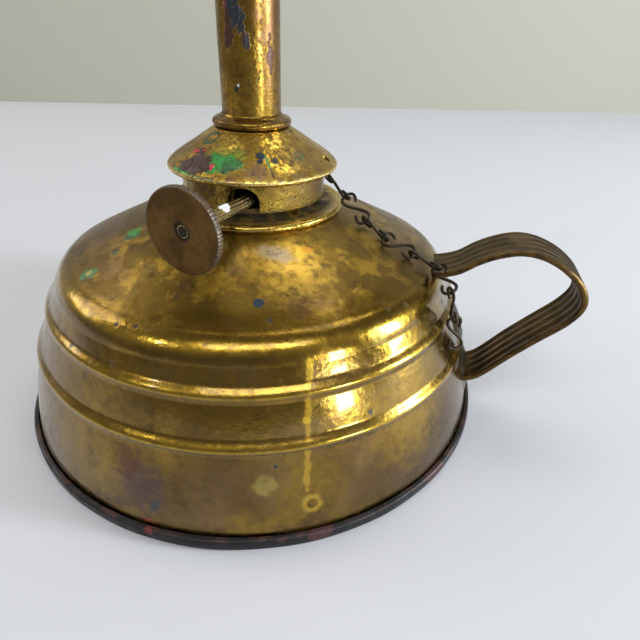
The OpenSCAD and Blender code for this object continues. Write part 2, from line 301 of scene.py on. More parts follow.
def new_group(name, **inputs):
    """A shader group with a Where input, the named inputs and one Mask output."""
    tree = bpy.data.node_groups.new(name, "ShaderNodeTree")
    tree.interface.new_socket(name="Where", in_out="INPUT", socket_type="NodeSocketVector")
    for key, value in inputs.items():
        kind = "NodeSocketVector" if isinstance(value, tuple) else "NodeSocketFloat"
        socket = tree.interface.new_socket(name=key.capitalize(), in_out="INPUT", socket_type=kind)
        socket.default_value = value
    tree.interface.new_socket(name="Mask", in_out="OUTPUT", socket_type="NodeSocketFloat")
    GROUPS[name] = tree
    graph = Graph(tree)
    given = {socket.name.lower(): socket for socket in tree.nodes.new("NodeGroupInput").outputs}
    return graph, SimpleNamespace(**given), tree.nodes.new("NodeGroupOutput").inputs[0]


# %% Clouds, specks and scratches
graph, given, mask = new_group("clouds", scale=100.0, low=0.4, high=0.6)
cloud = graph.noise(given.where, given.scale, 7.0, 0.62)
graph.feed(mask, graph.span(cloud, given.low, given.high))

graph, given, mask = new_group("specks", scale=300.0, size=0.2, share=0.3)
shift = graph.add("TexNoise", {"Vector": given.where, "Scale": given.scale})
bent = graph.vector("ADD", given.where, graph.scaled(shift.outputs["Color"], 0.0012))
cells = graph.add("TexVoronoi", {"Vector": bent, "Scale": given.scale})
near = graph.span(cells.outputs["Distance"], given.size, graph.times(given.size, 0.5))
draw = graph.add("SeparateColor", {"Color": cells.outputs["Color"]}).outputs[0]
graph.feed(mask, graph.times(near, graph.math("LESS_THAN", draw, given.share)))

graph, given, mask = new_group("scratches", scale=60.0, width=0.02)
stretched = graph.vector("MULTIPLY", given.where, (1.0, 1.0, 0.22))
line = graph.math("ABSOLUTE", graph.minus(graph.noise(stretched, given.scale, 2.0), 0.5))
broken = graph.span(graph.noise(given.where, graph.times(given.scale, 3.0)), 0.5, 0.62)
graph.feed(mask, graph.times(graph.span(line, given.width, 0.0), broken))

graph, given, mask = new_group("mottle", low=0.0, high=0.1, scale=100.0, share=0.5)
wander = graph.times(graph.minus(graph.noise(given.where, 90.0), 0.5), 0.004)
height = graph.plus(graph.height(given.where), wander)
above = graph.span(height, given.low, graph.plus(given.low, 0.0015))
below = graph.span(height, given.high, graph.minus(given.high, 0.0015))
limit = graph.minus(0.72, graph.times(given.share, 0.44))
patch = graph.span(graph.noise(given.where, given.scale, 6.0, 0.6), limit, graph.plus(limit, 0.12))
graph.feed(mask, graph.times(patch, graph.times(above, below)))
print("groups", sorted(GROUPS))

# %% [markdown]
# ## Paint where it fell
# A splash is a blob round a point and a run is a band along a line. Both groups measure how far
# the surface is from that point or line, add noise to the distance, and cut it off. A splash with
# a hollow middle is a dried ring.

# %% Splashes and runs
def ragged(graph, where, distance, rag):
    grain = graph.minus(graph.noise(where, 420.0, 5.0, 0.6), 0.5)
    return graph.plus(distance, graph.times(grain, rag))


graph, given, mask = new_group("splash", centre=(0, 0, 0), stretch=(1, 1, 1), radius=0.003, rag=0.004,
                               hollow=0.0, edge=0.8)
off = graph.vector("MULTIPLY", graph.vector("SUBTRACT", given.where, given.centre), given.stretch)
far = ragged(graph, given.where, graph.length(off), given.rag)
inside = graph.span(far, given.radius, graph.times(given.radius, given.edge))
hollow = graph.span(far, graph.times(given.hollow, 0.7), given.hollow)
solid = graph.math("LESS_THAN", given.hollow, 0.00001)
graph.feed(mask, graph.times(inside, graph.math("MAXIMUM", hollow, solid)))

graph, given, mask = new_group("run", start=(0, 0, 0), end=(0, 0, 1), width=0.001, rag=0.002)
along = graph.vector("SUBTRACT", given.end, given.start)
off = graph.vector("SUBTRACT", given.where, given.start)
dots = [graph.add("VectorMath", {0: a, 1: along}, operation="DOT_PRODUCT").outputs["Value"]
        for a in (off, along)]
share = graph.math("DIVIDE", *dots, clamp=True)
far = graph.length(graph.vector("SUBTRACT", off, graph.scaled(along, share)))
far = ragged(graph, given.where, far, given.rag)
graph.feed(mask, graph.span(far, given.width, graph.times(given.width, 0.45)))
print("groups", sorted(GROUPS))

# %% [markdown]
# ## One builder for every metal
# Old metals differ in colour and shine, but their wear has the same make-up: clouds of tarnish,
# dark specks, fine scratches and pitting. The builder takes the colours and amounts, and a list of
# marks that are laid on top in order. Metal under paint doesn't look like metal, so each mark also
# sets its own metallic value, here called sheen.

# %% Metal builder
def mark(kind, colour, strength=1.0, gloss=0.35, sheen=0.0, rise=0.0, **inputs):
    """One mark: its mask and the mask's inputs, its colour, roughness, metallic value and height."""
    return dict(kind=kind, colour=colour, strength=strength, gloss=gloss, sheen=sheen, rise=rise,
                inputs=inputs)


def metal(name, bright, dull, dark, rough=(0.26, 0.42), clouds=90.0, specks=0.25, relief=0.00003,
          grain=900.0, marks=(), metallic=1.0, coat=0.0, coat_top=1000.0, grime=0.35):
    """Old metal: dull clouds on the bright colour, dark stains, the marks, then grime and pits.

    The coat is what is left of the lacquer, up to a height of coat_top in mm."""
    material, graph, shader = new_finish(name)
    where = graph.add("TexCoord").outputs["Object"]
    cloud = graph.group("clouds", where=where, scale=clouds, low=0.38, high=0.62)
    stain = graph.group("clouds", where=where, scale=clouds * 2.6, low=0.54, high=0.76)
    fine = graph.group("clouds", where=where, scale=clouds * 9.0, low=0.3, high=0.7)
    hairs = graph.group("scratches", where=where, scale=70.0, width=0.012)
    colour = graph.mix(cloud, bright, dull)
    for mask, amount, tint in ((stain, 0.75, dark), (fine, 0.25, dark), (hairs, 0.3, bright)):
        colour = graph.mix(graph.times(mask, amount), colour, tint)
    shine = graph.span(graph.plus(cloud, graph.times(stain, 0.6)), 0.0, 1.4, *rough)
    pure = metallic
    lumps = graph.times(graph.noise(where, grain * 0.12, 3.0), 2.2)
    height = graph.plus(graph.noise(where, grain, 4.0), lumps)
    dirt = mark("clouds", dark, grime, 0.5, 0.8, -0.5, scale=clouds * 7.0, low=0.5, high=0.66)
    pits = mark("specks", SOOT, 0.85, 0.6, 0.2, -0.9, scale=clouds * 4.0, size=0.2, share=specks)
    for one in (*marks, dirt, pits):
        if one["kind"] in ("worn", "sooty"):
            spot = graph.times(graph.stored(one["kind"]), graph.span(graph.noise(where, 260.0), 0.25, 0.5))
        else:
            spot = graph.group(one["kind"], where=where, **one["inputs"])
        spot = graph.times(spot, one["strength"])
        colour = graph.mix(spot, colour, one["colour"])
        shine = graph.blend(spot, shine, one["gloss"])
        pure = graph.blend(spot, pure, one["sheen"])
        height = graph.plus(height, graph.times(spot, one["rise"]))
    for socket, value in (("Base Color", colour), ("Roughness", shine), ("Metallic", pure)):
        graph.feed(shader.inputs[socket], value)
    if coat:
        lacquer = graph.span(graph.height(where), (coat_top + 1) * MM, (coat_top - 1) * MM, coat * 0.1, coat)
        left = graph.minus(1.0, graph.times(stain, 0.5))
        graph.feed(shader.inputs["Coat Weight"], graph.times(lacquer, left))
    shader.inputs["Coat Roughness"].default_value = 0.07
    bump = graph.add("Bump", {"Height": height, "Distance": relief, "Strength": 1.0})
    graph.feed(shader.inputs["Normal"], bump.outputs[0])
    return material


def in_mm(point):
    return tuple(c * MM for c in point)


def splash(centre, radius, colour, rag, strength=1.0, gloss=0.35, sheen=0.0, rise=0.0, edge=0.8,
           stretch=(1, 1, 1), hollow=0.0):
    """A splash, with lengths in mm; a low edge makes it a soft stain."""
    return mark("splash", colour, strength, gloss, sheen, rise, centre=in_mm(centre), radius=radius * MM,
                stretch=stretch, rag=rag * MM, hollow=hollow * MM, edge=edge)


def splashes(*rows):
    """Splashes from rows: bearing, radius and height of the place, then what splash takes."""
    return [splash(at(*row[:3]), *row[3:]) for row in rows]


def run(start, end, width, colour, rag, *look):
    """A run from start to end, in mm."""
    return mark("run", colour, *look, start=in_mm(start), end=in_mm(end), width=width * MM, rag=rag * MM)


def mottle(low, high, scale, colour, share, *look):
    """Clouds that lie only between two heights in mm; share is how much of the surface they take."""
    return mark("mottle", colour, *look, low=low * MM, high=high * MM, scale=scale, share=share)


SOOT, CHALK, GREY = (0.012, 0.010, 0.008), (0.75, 0.78, 0.80), (0.34, 0.33, 0.29)
GREEN, DEEP_GREEN, NAVY = (0.02, 0.26, 0.035), (0.006, 0.075, 0.03), (0.008, 0.022, 0.035)
CRIMSON, MAROON, PLUM = (0.62, 0.015, 0.05), (0.045, 0.010, 0.010), (0.06, 0.03, 0.035)
LEMON, STRAW, ORANGE = (0.72, 0.46, 0.04), (0.50, 0.42, 0.09), (0.55, 0.22, 0.01)
GOLD, PALE_GOLD = (0.58, 0.36, 0.05), (0.82, 0.62, 0.22)
OLIVE, UMBER, TAUPE = (0.22, 0.15, 0.025), (0.09, 0.045, 0.010), (0.25, 0.155, 0.07)


ON_WALL = 0


def at(bearing, radius, height):
    """A point at a bearing in degrees, a radius and a height in mm, or on the reservoir's wall."""
    a = math.radians(bearing)
    if radius == ON_WALL:
        radius = float(wall_radius(height))
    return (radius * math.cos(a), radius * math.sin(a), height)


# %% [markdown]
# ## The reservoir
# The body is spun sheet brass: a flared wall with two rolled beads, a turned-over shoulder and a
# low dome. Its outline is one radius for each height on the wall and one height for each radius on
# the dome, carried round the axis. The sheet has an inner side too, so the reservoir is a real
# hollow shell. Dents of less than a tenth of a millimetre make the highlights waver.

# %% Reservoir outline
pan_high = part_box("base_pan")[1] / MM
body_low, body_high = (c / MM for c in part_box("body_shell"))
collar_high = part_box("neck_collar")[1] / MM
FOOT_R, FOOT_Z, NECK_Z = body_high.x, body_low.z, body_high.z
DOME_RISE, WALL_FLARE, WALL_BELLY = 14.8, 11.5, 1.8
SHOULDER_Z = NECK_Z - DOME_RISE
SHOULDER_R = FOOT_R - WALL_FLARE
BEADS, BEAD_W, BEAD_H = (0.6 * SHOULDER_Z, 0.865 * SHOULDER_Z), 3.6, 0.8
DOME_EDGE = (SHOULDER_R - 4.3, SHOULDER_Z + 4.6)
DOME_BELLY, DOME_RING_R, DOME_RING_W, DOME_RING_H = 2, 33, 2.2, 0.16
SHEET, DENT = 0.7, 0.05
NECK_R = 15.5
COLLAR_R = collar_high.x


def bead(z, middle):
    """One rolled bead: a squared cosine of the height, nothing outside the bead's width."""
    return np.where(abs(z - middle) < BEAD_W / 2, BEAD_H * np.cos(np.pi * (z - middle) / BEAD_W) ** 2, 0)


def crest(z, middle, width):
    """A smooth hump of 1 at the middle that is gone a few widths away."""
    return np.exp(-((z - middle) / width) ** 2)


def wall_radius(z):
    """The wall's radius at a height: a straight flare, a slight belly and the two beads."""
    t = (z - FOOT_Z) / (SHOULDER_Z - FOOT_Z)
    plain = FOOT_R - WALL_FLARE * t + 4 * WALL_BELLY * t * (1 - t)
    return plain + bead(z, BEADS[0]) + bead(z, BEADS[1])


def dome_height(r):
    """The dome's height at a radius: a straight rise, a slight belly and one shallow ring."""
    t = (DOME_EDGE[0] - r) / (DOME_EDGE[0] - COLLAR_R)
    return (DOME_EDGE[1] + (NECK_Z - DOME_EDGE[1]) * t + DOME_BELLY * t * (1 - t)
            + DOME_RING_H * crest(r, DOME_RING_R, DOME_RING_W))


def reservoir_outline(wall_steps, dome_steps):
    """The outer line from the foot up over the shoulder to the neck, as (radius, height)."""
    z = np.linspace(FOOT_Z, SHOULDER_Z - 0.6, wall_steps)
    wall = np.stack([wall_radius(z), z], axis=-1)
    t = np.linspace(0, 1, wall_steps // 7)[1:, None]
    fold = bend(wall[-1], (SHOULDER_R - 0.9, SHOULDER_Z + 3.5), DOME_EDGE, t)
    r = np.linspace(DOME_EDGE[0], COLLAR_R - 1, dome_steps)[1:]
    return outline(wall, fold, np.stack([r, dome_height(r)], axis=-1), (NECK_R, NECK_Z))


def line_normals(line):
    """Unit normals of an outline, on its right-hand side as it is walked."""
    way = np.gradient(line, axis=0)
    way /= np.linalg.norm(way, axis=1)[:, None]
    return np.stack([way[:, 1], -way[:, 0]], axis=-1)


def shell(outer, inner, steps, dent, seed):
    """A turned sheet: the outer line, then the inner line back, both dented alike."""
    rows = np.concatenate([outer, inner[::-1]])
    normals = np.concatenate([line_normals(outer), line_normals(inner)[::-1]])
    grid, push = turned(rows, steps), turned(normals, steps)
    depth = dent * (wobble(grid, 26, 9, seed) + 0.3 * wobble(grid, 8, 9, seed + 1))
    return grid + push * depth[..., None]


outer = reservoir_outline(150, 46)
inner = reservoir_outline(42, 16)
inner = inner - SHEET * line_normals(inner)
reservoir = skin("reservoir", shell(outer, inner, 320, DENT, 11), along=True)


def store(piece, **values):
    """Keeps one number for each point of a piece, under a name that its finish reads."""
    for name, value in values.items():
        layer = piece.data.attributes.new(name, "FLOAT", "POINT")
        layer.data.foreach_set("value", np.asarray(value, np.float32).ravel())


def paint_wear(piece, worn_at):
    """Stores how worn each point is, from 0 to 1, by its radius and height in mm."""
    x, y, z = points_of(piece).T
    store(piece, worn=np.clip(worn_at(np.hypot(x, y), z), 0, 1))


paint_wear(reservoir, lambda r, z: crest(z, BEADS[0], 0.8) + crest(z, BEADS[1], 0.8)
           + 1.1 * crest(z, SHOULDER_Z + 2.6, 0.8))

WALL_TOP = SHOULDER_Z + 3
# A splash's row: bearing, radius, height, size, colour, rag, strength, gloss, sheen, rise, edge,
# stretch and hollow; what is left out keeps its usual value.
reservoir_marks = [
    # Taupe patches over the wall: a painted reflection of the warm room, laid into the metal's colour.
    mottle(4, WALL_TOP - 2, 34, TAUPE, 0.5, 0.5, 0.26, 1),
    # Umber clouds below 22 mm darken the lower wall: painted shade, as that part mirrors the shaded table.
    # The next clouds darken the foot below 8 mm.
    mottle(-1, 22, 26, UMBER, 0.5, 0.55, 0.26, 1),
    mottle(-1, 8, 120, UMBER, 0.5, 0.6, 0.4, 0.9),
    # A dark umber band on the fold just under the shoulder's crest: painted shade and a painted reflection of
    # the dark room.
    mottle(WALL_TOP - 3.5, WALL_TOP - 0.4, 40, UMBER, 0.75, 0.45, 0.24, 1),
    mottle(WALL_TOP + 1, NECK_Z + 2, 50, (0.16, 0.10, 0.020), 1.4, 0.8, 0.42, 1),
    mottle(WALL_TOP + 1.5, NECK_Z + 2, 110, GOLD, 0.5, 0.6, 0.38, 1, 0.5),
    # A dark olive band on the dome just above the crest: a painted reflection of the dark room.
    mottle(WALL_TOP + 1, WALL_TOP + 4, 60, (0.10, 0.055, 0.006), 0.75, 0.7, 0.3, 1),
    mottle(WALL_TOP + 1.5, NECK_Z + 2, 170, UMBER, 0.42, 0.8, 0.5, 0.8, -0.6),
    mottle(WALL_TOP + 3, NECK_Z + 2, 55, (0.15, 0.085, 0.055), 0.42, 0.7, 0.4, 0.9),
    *splashes(
        # A soft gold patch on the lower right wall, facing the window: a painted highlight.
        (-36, 56, 20, 15, GOLD, 18, 0.55, 0.24, 1, 0, 0.1),
        (-24, 51, 30, 10, OLIVE, 14, 0.5, 0.26, 1, 0, 0.2),
        # A soft gold patch on the front of the dome: painted light where the light from above falls.
        (-58, 30, 49.5, 12, GOLD, 16, 0.75, 0.3, 1, 0.4, 0.1),
        (-50, 28.5, 50, 3.6, LEMON, 7, 0.8, 0.4, 0.6, 0.8, 0.3),
        (-47, 28, 50.3, 1.5, ORANGE, 3.5, 0.8, 0.4, 0.5, 0.8, 0.4),
        (-62, 27.8, 50.2, 3.2, GREY, 5, 0.5, 0.5, 0.5, 0.8, 0.3, (0.6, 1, 1)),
        (-66, 34, 47.8, 3.4, UMBER, 2.5, 0.5, 0.4, 0.8, 0, 0.5, (1, 1, 1), 2.5),
        (-95, ON_WALL, 12, 8.5, PLUM, 16, 0.8, 0.3, 0.7, 0, 0.2),
        (-98, ON_WALL, 17, 5, (0.10, 0.03, 0.005), 10, 0.7, 0.3, 0.8, 0, 0.3),
        (-92, ON_WALL, 8.2, 1.6, NAVY, 3, 0.8, 0.4, 0.3, 0.6, 0.5),
        (-94, ON_WALL, 4.2, 1.3, (0.28, 0.01, 0.03), 3, 0.7, 0.35, 0, 0.6, 0.5, (0.5, 1, 1.4))),
    run(at(-59.5, ON_WALL, SHOULDER_Z), at(-61, ON_WALL, 27), 1.0, LEMON, 2.4, 0.5, 0.35, 0.9),
    run(at(-61, ON_WALL, 27), at(-62.2, ON_WALL, 13), 0.9, LEMON, 2.4, 0.45, 0.35, 0.9),
    *splashes(
        (-61.2, ON_WALL, 9.4, 2.8, LEMON, 1.4, 0.5, 0.35, 0.8, 0.3, 0.6, (1, 1, 1), 1.3),
        (-70.2, ON_WALL, 14.9, 2.9, STRAW, 2.2, 0.42, 0.35, 0.8, 0.3, 0.55),
        (-41.3, 49.2, 39, 2.9, STRAW, 3, 0.42, 0.3, 0.8, 0.3, 0.5),
        (-68.1, ON_WALL, 18.8, 0.45, SOOT, 0.3, 1, 0.6, 0, -0.6),
        (-70, 39.4, 45.2, 1.2, NAVY, 0.9, 1, 0.45, 0.2, 0.8),
        (-94.5, 39.2, 45.3, 0.5, SOOT, 0.4, 1, 0.6, 0, -0.6),
        (-136, 31, 48.9, 2.6, DEEP_GREEN, 6, 0.9, 0.35, 0, 1.6, 0.5, (1, 1, 1.3)),
        (-138, 30.2, 49.3, 1.7, GREEN, 4.5, 0.9, 0.35, 0, 2.2),
        (-132, 36, 46.8, 1.2, DEEP_GREEN, 4.5, 0.9, 0.35, 0, 2, 0.5),
        (-130, 42.8, 43.6, 2, (0.05, 0.16, 0.05), 3.5, 0.9, 0.35, 0, 2, 0.8, (0.8, 1, 1)),
        (-130.5, 42.6, 43.7, 0.9, STRAW, 2, 0.6, 0.35, 0, 1),
        (-12.3, 40.2, 44.8, 1.5, UMBER, 0.8, 0.7, 0.5, 0.5, 0, 0.8, (1, 1, 1), 1)),
    run(at(-8, ON_WALL, SHOULDER_Z - 1), at(-9, ON_WALL, 24), 1.6, GREY, 2.6, 0.75, 0.4, 0.8, 1.6),
    run(at(4, ON_WALL, SHOULDER_Z - 2), at(3, ON_WALL, 26), 1.8, GREY, 3.0, 0.7, 0.4, 0.8, 1.6),
    run(at(-12, ON_WALL, 20), at(10, ON_WALL, 20), 1.6, GREY, 3.0, 0.6, 0.4, 0.8, 1.6),
    mark("worn", LEMON, 0.38, 0.24, 1.0),
]
body_brass = metal("body_brass", (0.30, 0.182, 0.020), (0.18, 0.103, 0.012), (0.06, 0.03, 0.005),
                   rough=(0.16, 0.30), clouds=60.0, specks=0.22, relief=0.00006, grain=700.0,
                   marks=reservoir_marks, coat=0.5, coat_top=WALL_TOP + 1, grime=0.3)
place(reservoir, "lamp", "body_brass", body_brass, "body_shell")

# %% [markdown]
# ## The hemmed base
# The base is a pan of dark tinplate, rolled over the foot of the wall. The hem was closed by hand,
# so its edge wanders a little in and out, which a slow wave round the rim gives.

# %% Base pan
HEM_R, HEM_H, PAN_T = pan_high.x, pan_high.z, 0.8
pan_line = outline((0, 0), (HEM_R * 0.5, 0), arc((HEM_R - PAN_T, PAN_T), PAN_T, -90, 0, 7),
                   arc((HEM_R - 0.6, HEM_H - 0.6), 0.6, 0, 90, 7), (FOOT_R + 0.05, HEM_H),
                   (FOOT_R + 0.05, PAN_T), (HEM_R * 0.5, PAN_T), (0, PAN_T))
pan = turned(pan_line, 360)
edge = np.clip((np.hypot(pan[..., 0], pan[..., 1]) - FOOT_R - 0.2) / 0.8, 0, 1)
pull = 0.11 * (wobble(pan, 17, 7, 3) - 1) * edge
pan[..., :2] *= (1 + pull / HEM_R)[..., None]
pan[..., 2] += np.where(pan[..., 2] > HEM_H * 0.6, -0.14 * (1 + wobble(pan, 11, 7, 4)) * edge, 0)
base_hem = skin("base_hem", pan)
iron = metal("base_iron", (0.028, 0.029, 0.031), (0.018, 0.017, 0.017), (0.012, 0.009, 0.008),
             rough=(0.34, 0.55), clouds=220.0, specks=0.3, metallic=0.6, marks=[
                 mottle(HEM_H - 0.9, HEM_H + 2, 260, (0.10, 0.025, 0.015), 0.6, 0.7, 0.6),
                 *splashes((-93, HEM_R, 2.9, 1.1, (0.2, 0.01, 0.02), 3, 0.6, 0.4, 0, 1),
                           (-60, HEM_R, 2.8, 3, MAROON, 5, 1, 0.5, 0, 1),
                           (-30, HEM_R, 2.8, 4, MAROON, 6, 1, 0.5, 0, 1))])
place(base_hem, "lamp", "base_iron", iron, "base_pan")

# %% [markdown]
# ## The collar
# A thick rolled ring is soldered on the dome round the neck. Cloths have polished its crest, so it
# is bright and pitted, and the corner behind it is darkened.

# %% Collar
NECK_TOP, BORE_R = collar_high.z, 14.2
ROLL = 0.9
collar_line = outline(
    (BORE_R, NECK_Z - 3.4), (NECK_R - 0.05, NECK_Z - 3.4), (NECK_R - 0.05, NECK_Z), (NECK_R + 3, NECK_Z),
    arc((COLLAR_R - ROLL, NECK_Z + ROLL), ROLL, -90, 110, 20), (NECK_R + 3, NECK_Z + 1.65),
    (NECK_R + 0.9, NECK_Z + 1.8), (NECK_R, NECK_Z + 2.3), (NECK_R, NECK_TOP), (BORE_R, NECK_TOP))
collar_grid = turned(collar_line, 220)
on_ring = np.hypot(collar_grid[..., 0], collar_grid[..., 1]) > NECK_R + 1
lumps = 0.1 * wobble(collar_grid, 5, 9, 21) * on_ring
collar_grid[..., 2] -= np.abs(lumps) * (collar_grid[..., 2] > NECK_Z + 0.4)
collar = skin("collar", collar_grid, along=True, crease=50)
paint_wear(collar, lambda r, z: crest(r, COLLAR_R - 1.2, 0.9) * (z > NECK_Z + 0.6))
# The mark stored here darkens the corner behind the ring and the neck above it, almost to black.
x, y, z = points_of(collar).T
store(collar, sooty=np.clip((COLLAR_R - 2.2 - np.hypot(x, y)) / 0.5, 0, 1) * (z > NECK_Z + 1))
collar_brass = metal("collar_brass", (0.58, 0.38, 0.06), (0.34, 0.21, 0.035), (0.05, 0.035, 0.012),
                     rough=(0.18, 0.34), clouds=170.0, specks=0.4, relief=0.00012, grain=480.0, marks=[
                         mottle(NECK_Z - 1, NECK_Z + 3, 240, SOOT, 0.35, 0.7, 0.5, 0, -0.8),
                         mark("worn", PALE_GOLD, 0.5, 0.2, 1.0),
                         mark("sooty", (0.02, 0.014, 0.008), 0.95, 0.6, 0.3),
                         splash(at(-25, 17.5, NECK_Z + 2.2), 0.6, CRIMSON, 0.8, 1, 0.3)])
place(collar, "lamp", "body_brass", collar_brass, "neck_collar")

# %% [markdown]
# ## The strap handle
# The handle is a strip of ribbed brass bent into a loop and soldered at both ends. Its section is
# carried along a smooth line through a few chosen points and stays square to that line, so the
# ribs run round the bends. Each point stores how far along the strip and how far across it lies,
# and the dark streaks of the finish are drawn along those.

# %% Handle
strap_low, strap_high = (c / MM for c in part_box("handle_strap"))
STRAP_W, STRAP_T, RIBS, RIB_H = strap_high.y - strap_low.y, 1.1, 5, 0.24
ROOT_X, ROOT_Z = SHOULDER_R - 5.4, SHOULDER_Z + 3
LOOP_X = SHOULDER_R + 32
FOOT_AT_Z = 12
FOOT_AT_X = float(wall_radius(FOOT_AT_Z)) - 0.5
strap_points = np.concatenate([
    np.array([ROOT_X, ROOT_Z]) + [(0, 0), (4.2, 0.8), (8.2, 2.3), (12.4, 5.3), (16.8, 7.5)],
    np.array([LOOP_X, ROOT_Z]) + [(-16, 8.7), (-11, 8.1), (-5.8, 5.6), (-1.4, 1.6), (0, -2.8),
                                  (-2.2, -7.4), (-7.6, -13.3), (-12.8, -19)],
    np.array([FOOT_AT_X, FOOT_AT_Z]) + [(5.6, 4), (3, 1.4), (0, 0)]])


def through(points, steps):
    """A smooth line through the points: a Catmull-Rom spline with evenly many steps a span."""
    padded = np.concatenate([points[:1], points, points[-1:]])
    a, b, c, d = (padded[k:len(padded) - 3 + k, None] for k in range(4))
    t = (np.arange(steps) / steps)[None, :, None]
    line = 0.5 * (2 * b + (c - a) * t + (2 * a - 5 * b + 4 * c - d) * t ** 2
                  + (3 * b - a - 3 * c + d) * t ** 3)
    return np.concatenate([line.reshape(-1, points.shape[1]), points[-1:]])


def strap_section(steps):
    """The strip's section: half its thickness across its width, with raised cosine ribs."""
    y = np.linspace(-0.5, 0.5, steps)
    rib = np.cos(2 * np.pi * (y + 0.45) * (RIBS - 0.4)) * 0.5 + 0.5
    edge = np.sqrt(np.clip(1 - (2 * abs(y)) ** 24, 0, 1))
    half = (STRAP_T / 2 + RIB_H * rib ** 1.5) * edge
    face = np.stack([y * STRAP_W, half], axis=-1)
    return np.concatenate([face, (face * (1, -1))[::-1]])


strap_line = through(strap_points, 14)
across = line_normals(strap_line)
section = strap_section(64)
swell = np.ones((len(strap_line), 1))
swell[[0, -1]] = 0
strap = np.stack([strap_line[:, :1] - across[:, :1] * section[:, 1] * swell,
                  section[:, 0] * (0.3 + 0.7 * swell),
                  strap_line[:, 1:] - across[:, 1:] * section[:, 1] * swell], axis=-1)
strap[..., 2] += 0.05 * wobble(strap, 14, 7, 8)
strap[..., 1] *= 1 - 0.004 * (1 + wobble(strap, 10, 7, 9))
strap[..., 0] = np.minimum(strap[..., 0], strap_high.x)
handle = skin("strap_handle", strap, crease=60)
where_on_strap = points_of(handle)
nearest = np.argmin(((where_on_strap[:, None, [0, 2]] - strap_line[None]) ** 2).sum(-1), axis=1)
store(handle, along=nearest / len(strap_line), across=where_on_strap[:, 1] / STRAP_W)


def streak(material, colour, amount):
    """Lays dark streaks along a strip, from noise drawn out along its stored length, and darkens its grooves.
    """
    graph = Graph(material.node_tree)
    shader = material.node_tree.nodes["Principled BSDF"]
    before = shader.inputs["Base Color"].links[0].from_socket
    width = graph.stored("across")
    strip = graph.add("CombineXYZ", {"X": graph.stored("along"), "Y": width}).outputs[0]
    strip = graph.vector("MULTIPLY", strip, (0.9, 1.5, 1.0))
    mask = graph.span(graph.noise(strip, 22.0, 5.0, 0.62), 0.5, 0.62)
    # The grooves between the ribs are darkened as well.
    ribs = graph.math("COSINE", graph.times(width, 2 * math.pi * (RIBS - 0.4)))
    mask = graph.math("MAXIMUM", mask, graph.times(graph.span(ribs, 0.1, -0.6), 0.4))
    graph.feed(shader.inputs["Base Color"], graph.mix(graph.times(mask, amount), before, colour))


bronze = metal("handle_bronze", (0.17, 0.102, 0.028), (0.085, 0.05, 0.018), (0.03, 0.02, 0.01),
               rough=(0.3, 0.46), clouds=120.0, specks=0.3, relief=0.00005, metallic=0.9)
streak(bronze, (0.016, 0.011, 0.007), 0.85)
place(handle, "lamp", "handle_bronze", bronze, "handle_strap")

# %% [markdown]
# ## Solder at the handle's roots
# Each root sits in a smear of soft solder. A smear is a low pad that follows the wall: its points
# lie on the wall's own outline, lifted by a thickness that falls to nothing at a ragged edge.

# %% Solder pads
outline_length = np.concatenate([[0], np.cumsum(np.linalg.norm(np.diff(outer, axis=0), axis=1))])
outline_out = line_normals(outer)


def solder_pad(name, at_height, wide, high, thick, seed):
    """A pad of solder round a height on the wall at bearing 0: a disc of rings and spokes."""
    rings, spokes = 22, 72
    s = np.sin(np.linspace(0, np.pi / 2, rings))[:, None]
    a = (2 * np.pi * np.arange(spokes) / spokes)[None, :]
    circle = np.stack([np.cos(a[0]), np.sin(a[0]), 0 * a[0]], axis=-1)
    ragged_edge = 1 + 0.16 * wobble(circle, 1.3, 9, seed)
    u = s * ragged_edge * wide * np.cos(a)
    v = s * ragged_edge * high * np.sin(a)
    start = np.interp(at_height, outer[:len(outer) // 2, 1], outline_length[:len(outer) // 2])
    r, z, out_r, out_z = (np.interp(start + v, outline_length, line) for line in
                          (outer[:, 0], outer[:, 1], outline_out[:, 0], outline_out[:, 1]))
    bearing = u / r

    def lifted(depth):
        rr, zz = r + depth * out_r, z + depth * out_z
        return np.stack([rr * np.cos(bearing), rr * np.sin(bearing), zz], axis=-1)

    flat = np.stack([u, v, 0 * u], axis=-1)
    dome = thick * (1 - s ** 2.4) * (1 + 0.35 * wobble(flat, 4, 9, seed + 1)) + 0.03
    return skin(name, np.concatenate([lifted(dome), lifted(-0.25 + 0 * dome)[::-1]]), crease=70)


solder = metal("solder", (0.24, 0.225, 0.18), (0.15, 0.135, 0.10), (0.07, 0.055, 0.035),
               rough=(0.42, 0.58), clouds=200.0, specks=0.2, relief=0.00008, marks=[
                   mottle(0, 60, 160, UMBER, 0.4, 0.6, 0.5, 0.7)])
place(solder_pad("solder_at_shoulder", SHOULDER_Z + 1, 6.3, 4.6, 0.9, 31), "lamp", "solder", solder,
      "handle_solder_top")
place(solder_pad("solder_at_foot", FOOT_AT_Z + 0.6, 7.3, 6.6, 0.9, 41), "lamp", "solder", solder,
      "handle_solder_foot")

# %% [markdown]
# ## The slip-on cover: skirt, cone, ring and tube
# The cover is sheet brass: a skirt that grips the gallery, a cone with a rolled rim, a ring, and a
# long tube with a lapped seam and a rolled lip. All are turned outlines. The skirt's slot and the
# hole for the chain are cut with a boolean, as a cut across a curved sheet has no simple formula.

# %% Cutting helper and skirt
def cut(piece, cutter):
    """Cuts the cutter's shape out of a piece, for good, and throws the cutter away."""
    step = piece.modifiers.new("cut", "BOOLEAN")
    step.object, step.solver = cutter, "EXACT"
    bpy.context.view_layer.update()
    done = bpy.data.meshes.new_from_object(piece.evaluated_get(bpy.context.evaluated_depsgraph_get()))
    piece.modifiers.remove(step)
    piece.data = done
    bpy.data.objects.remove(cutter)
    done.shade_smooth()
    done.set_sharp_from_angle(angle=math.radians(38))


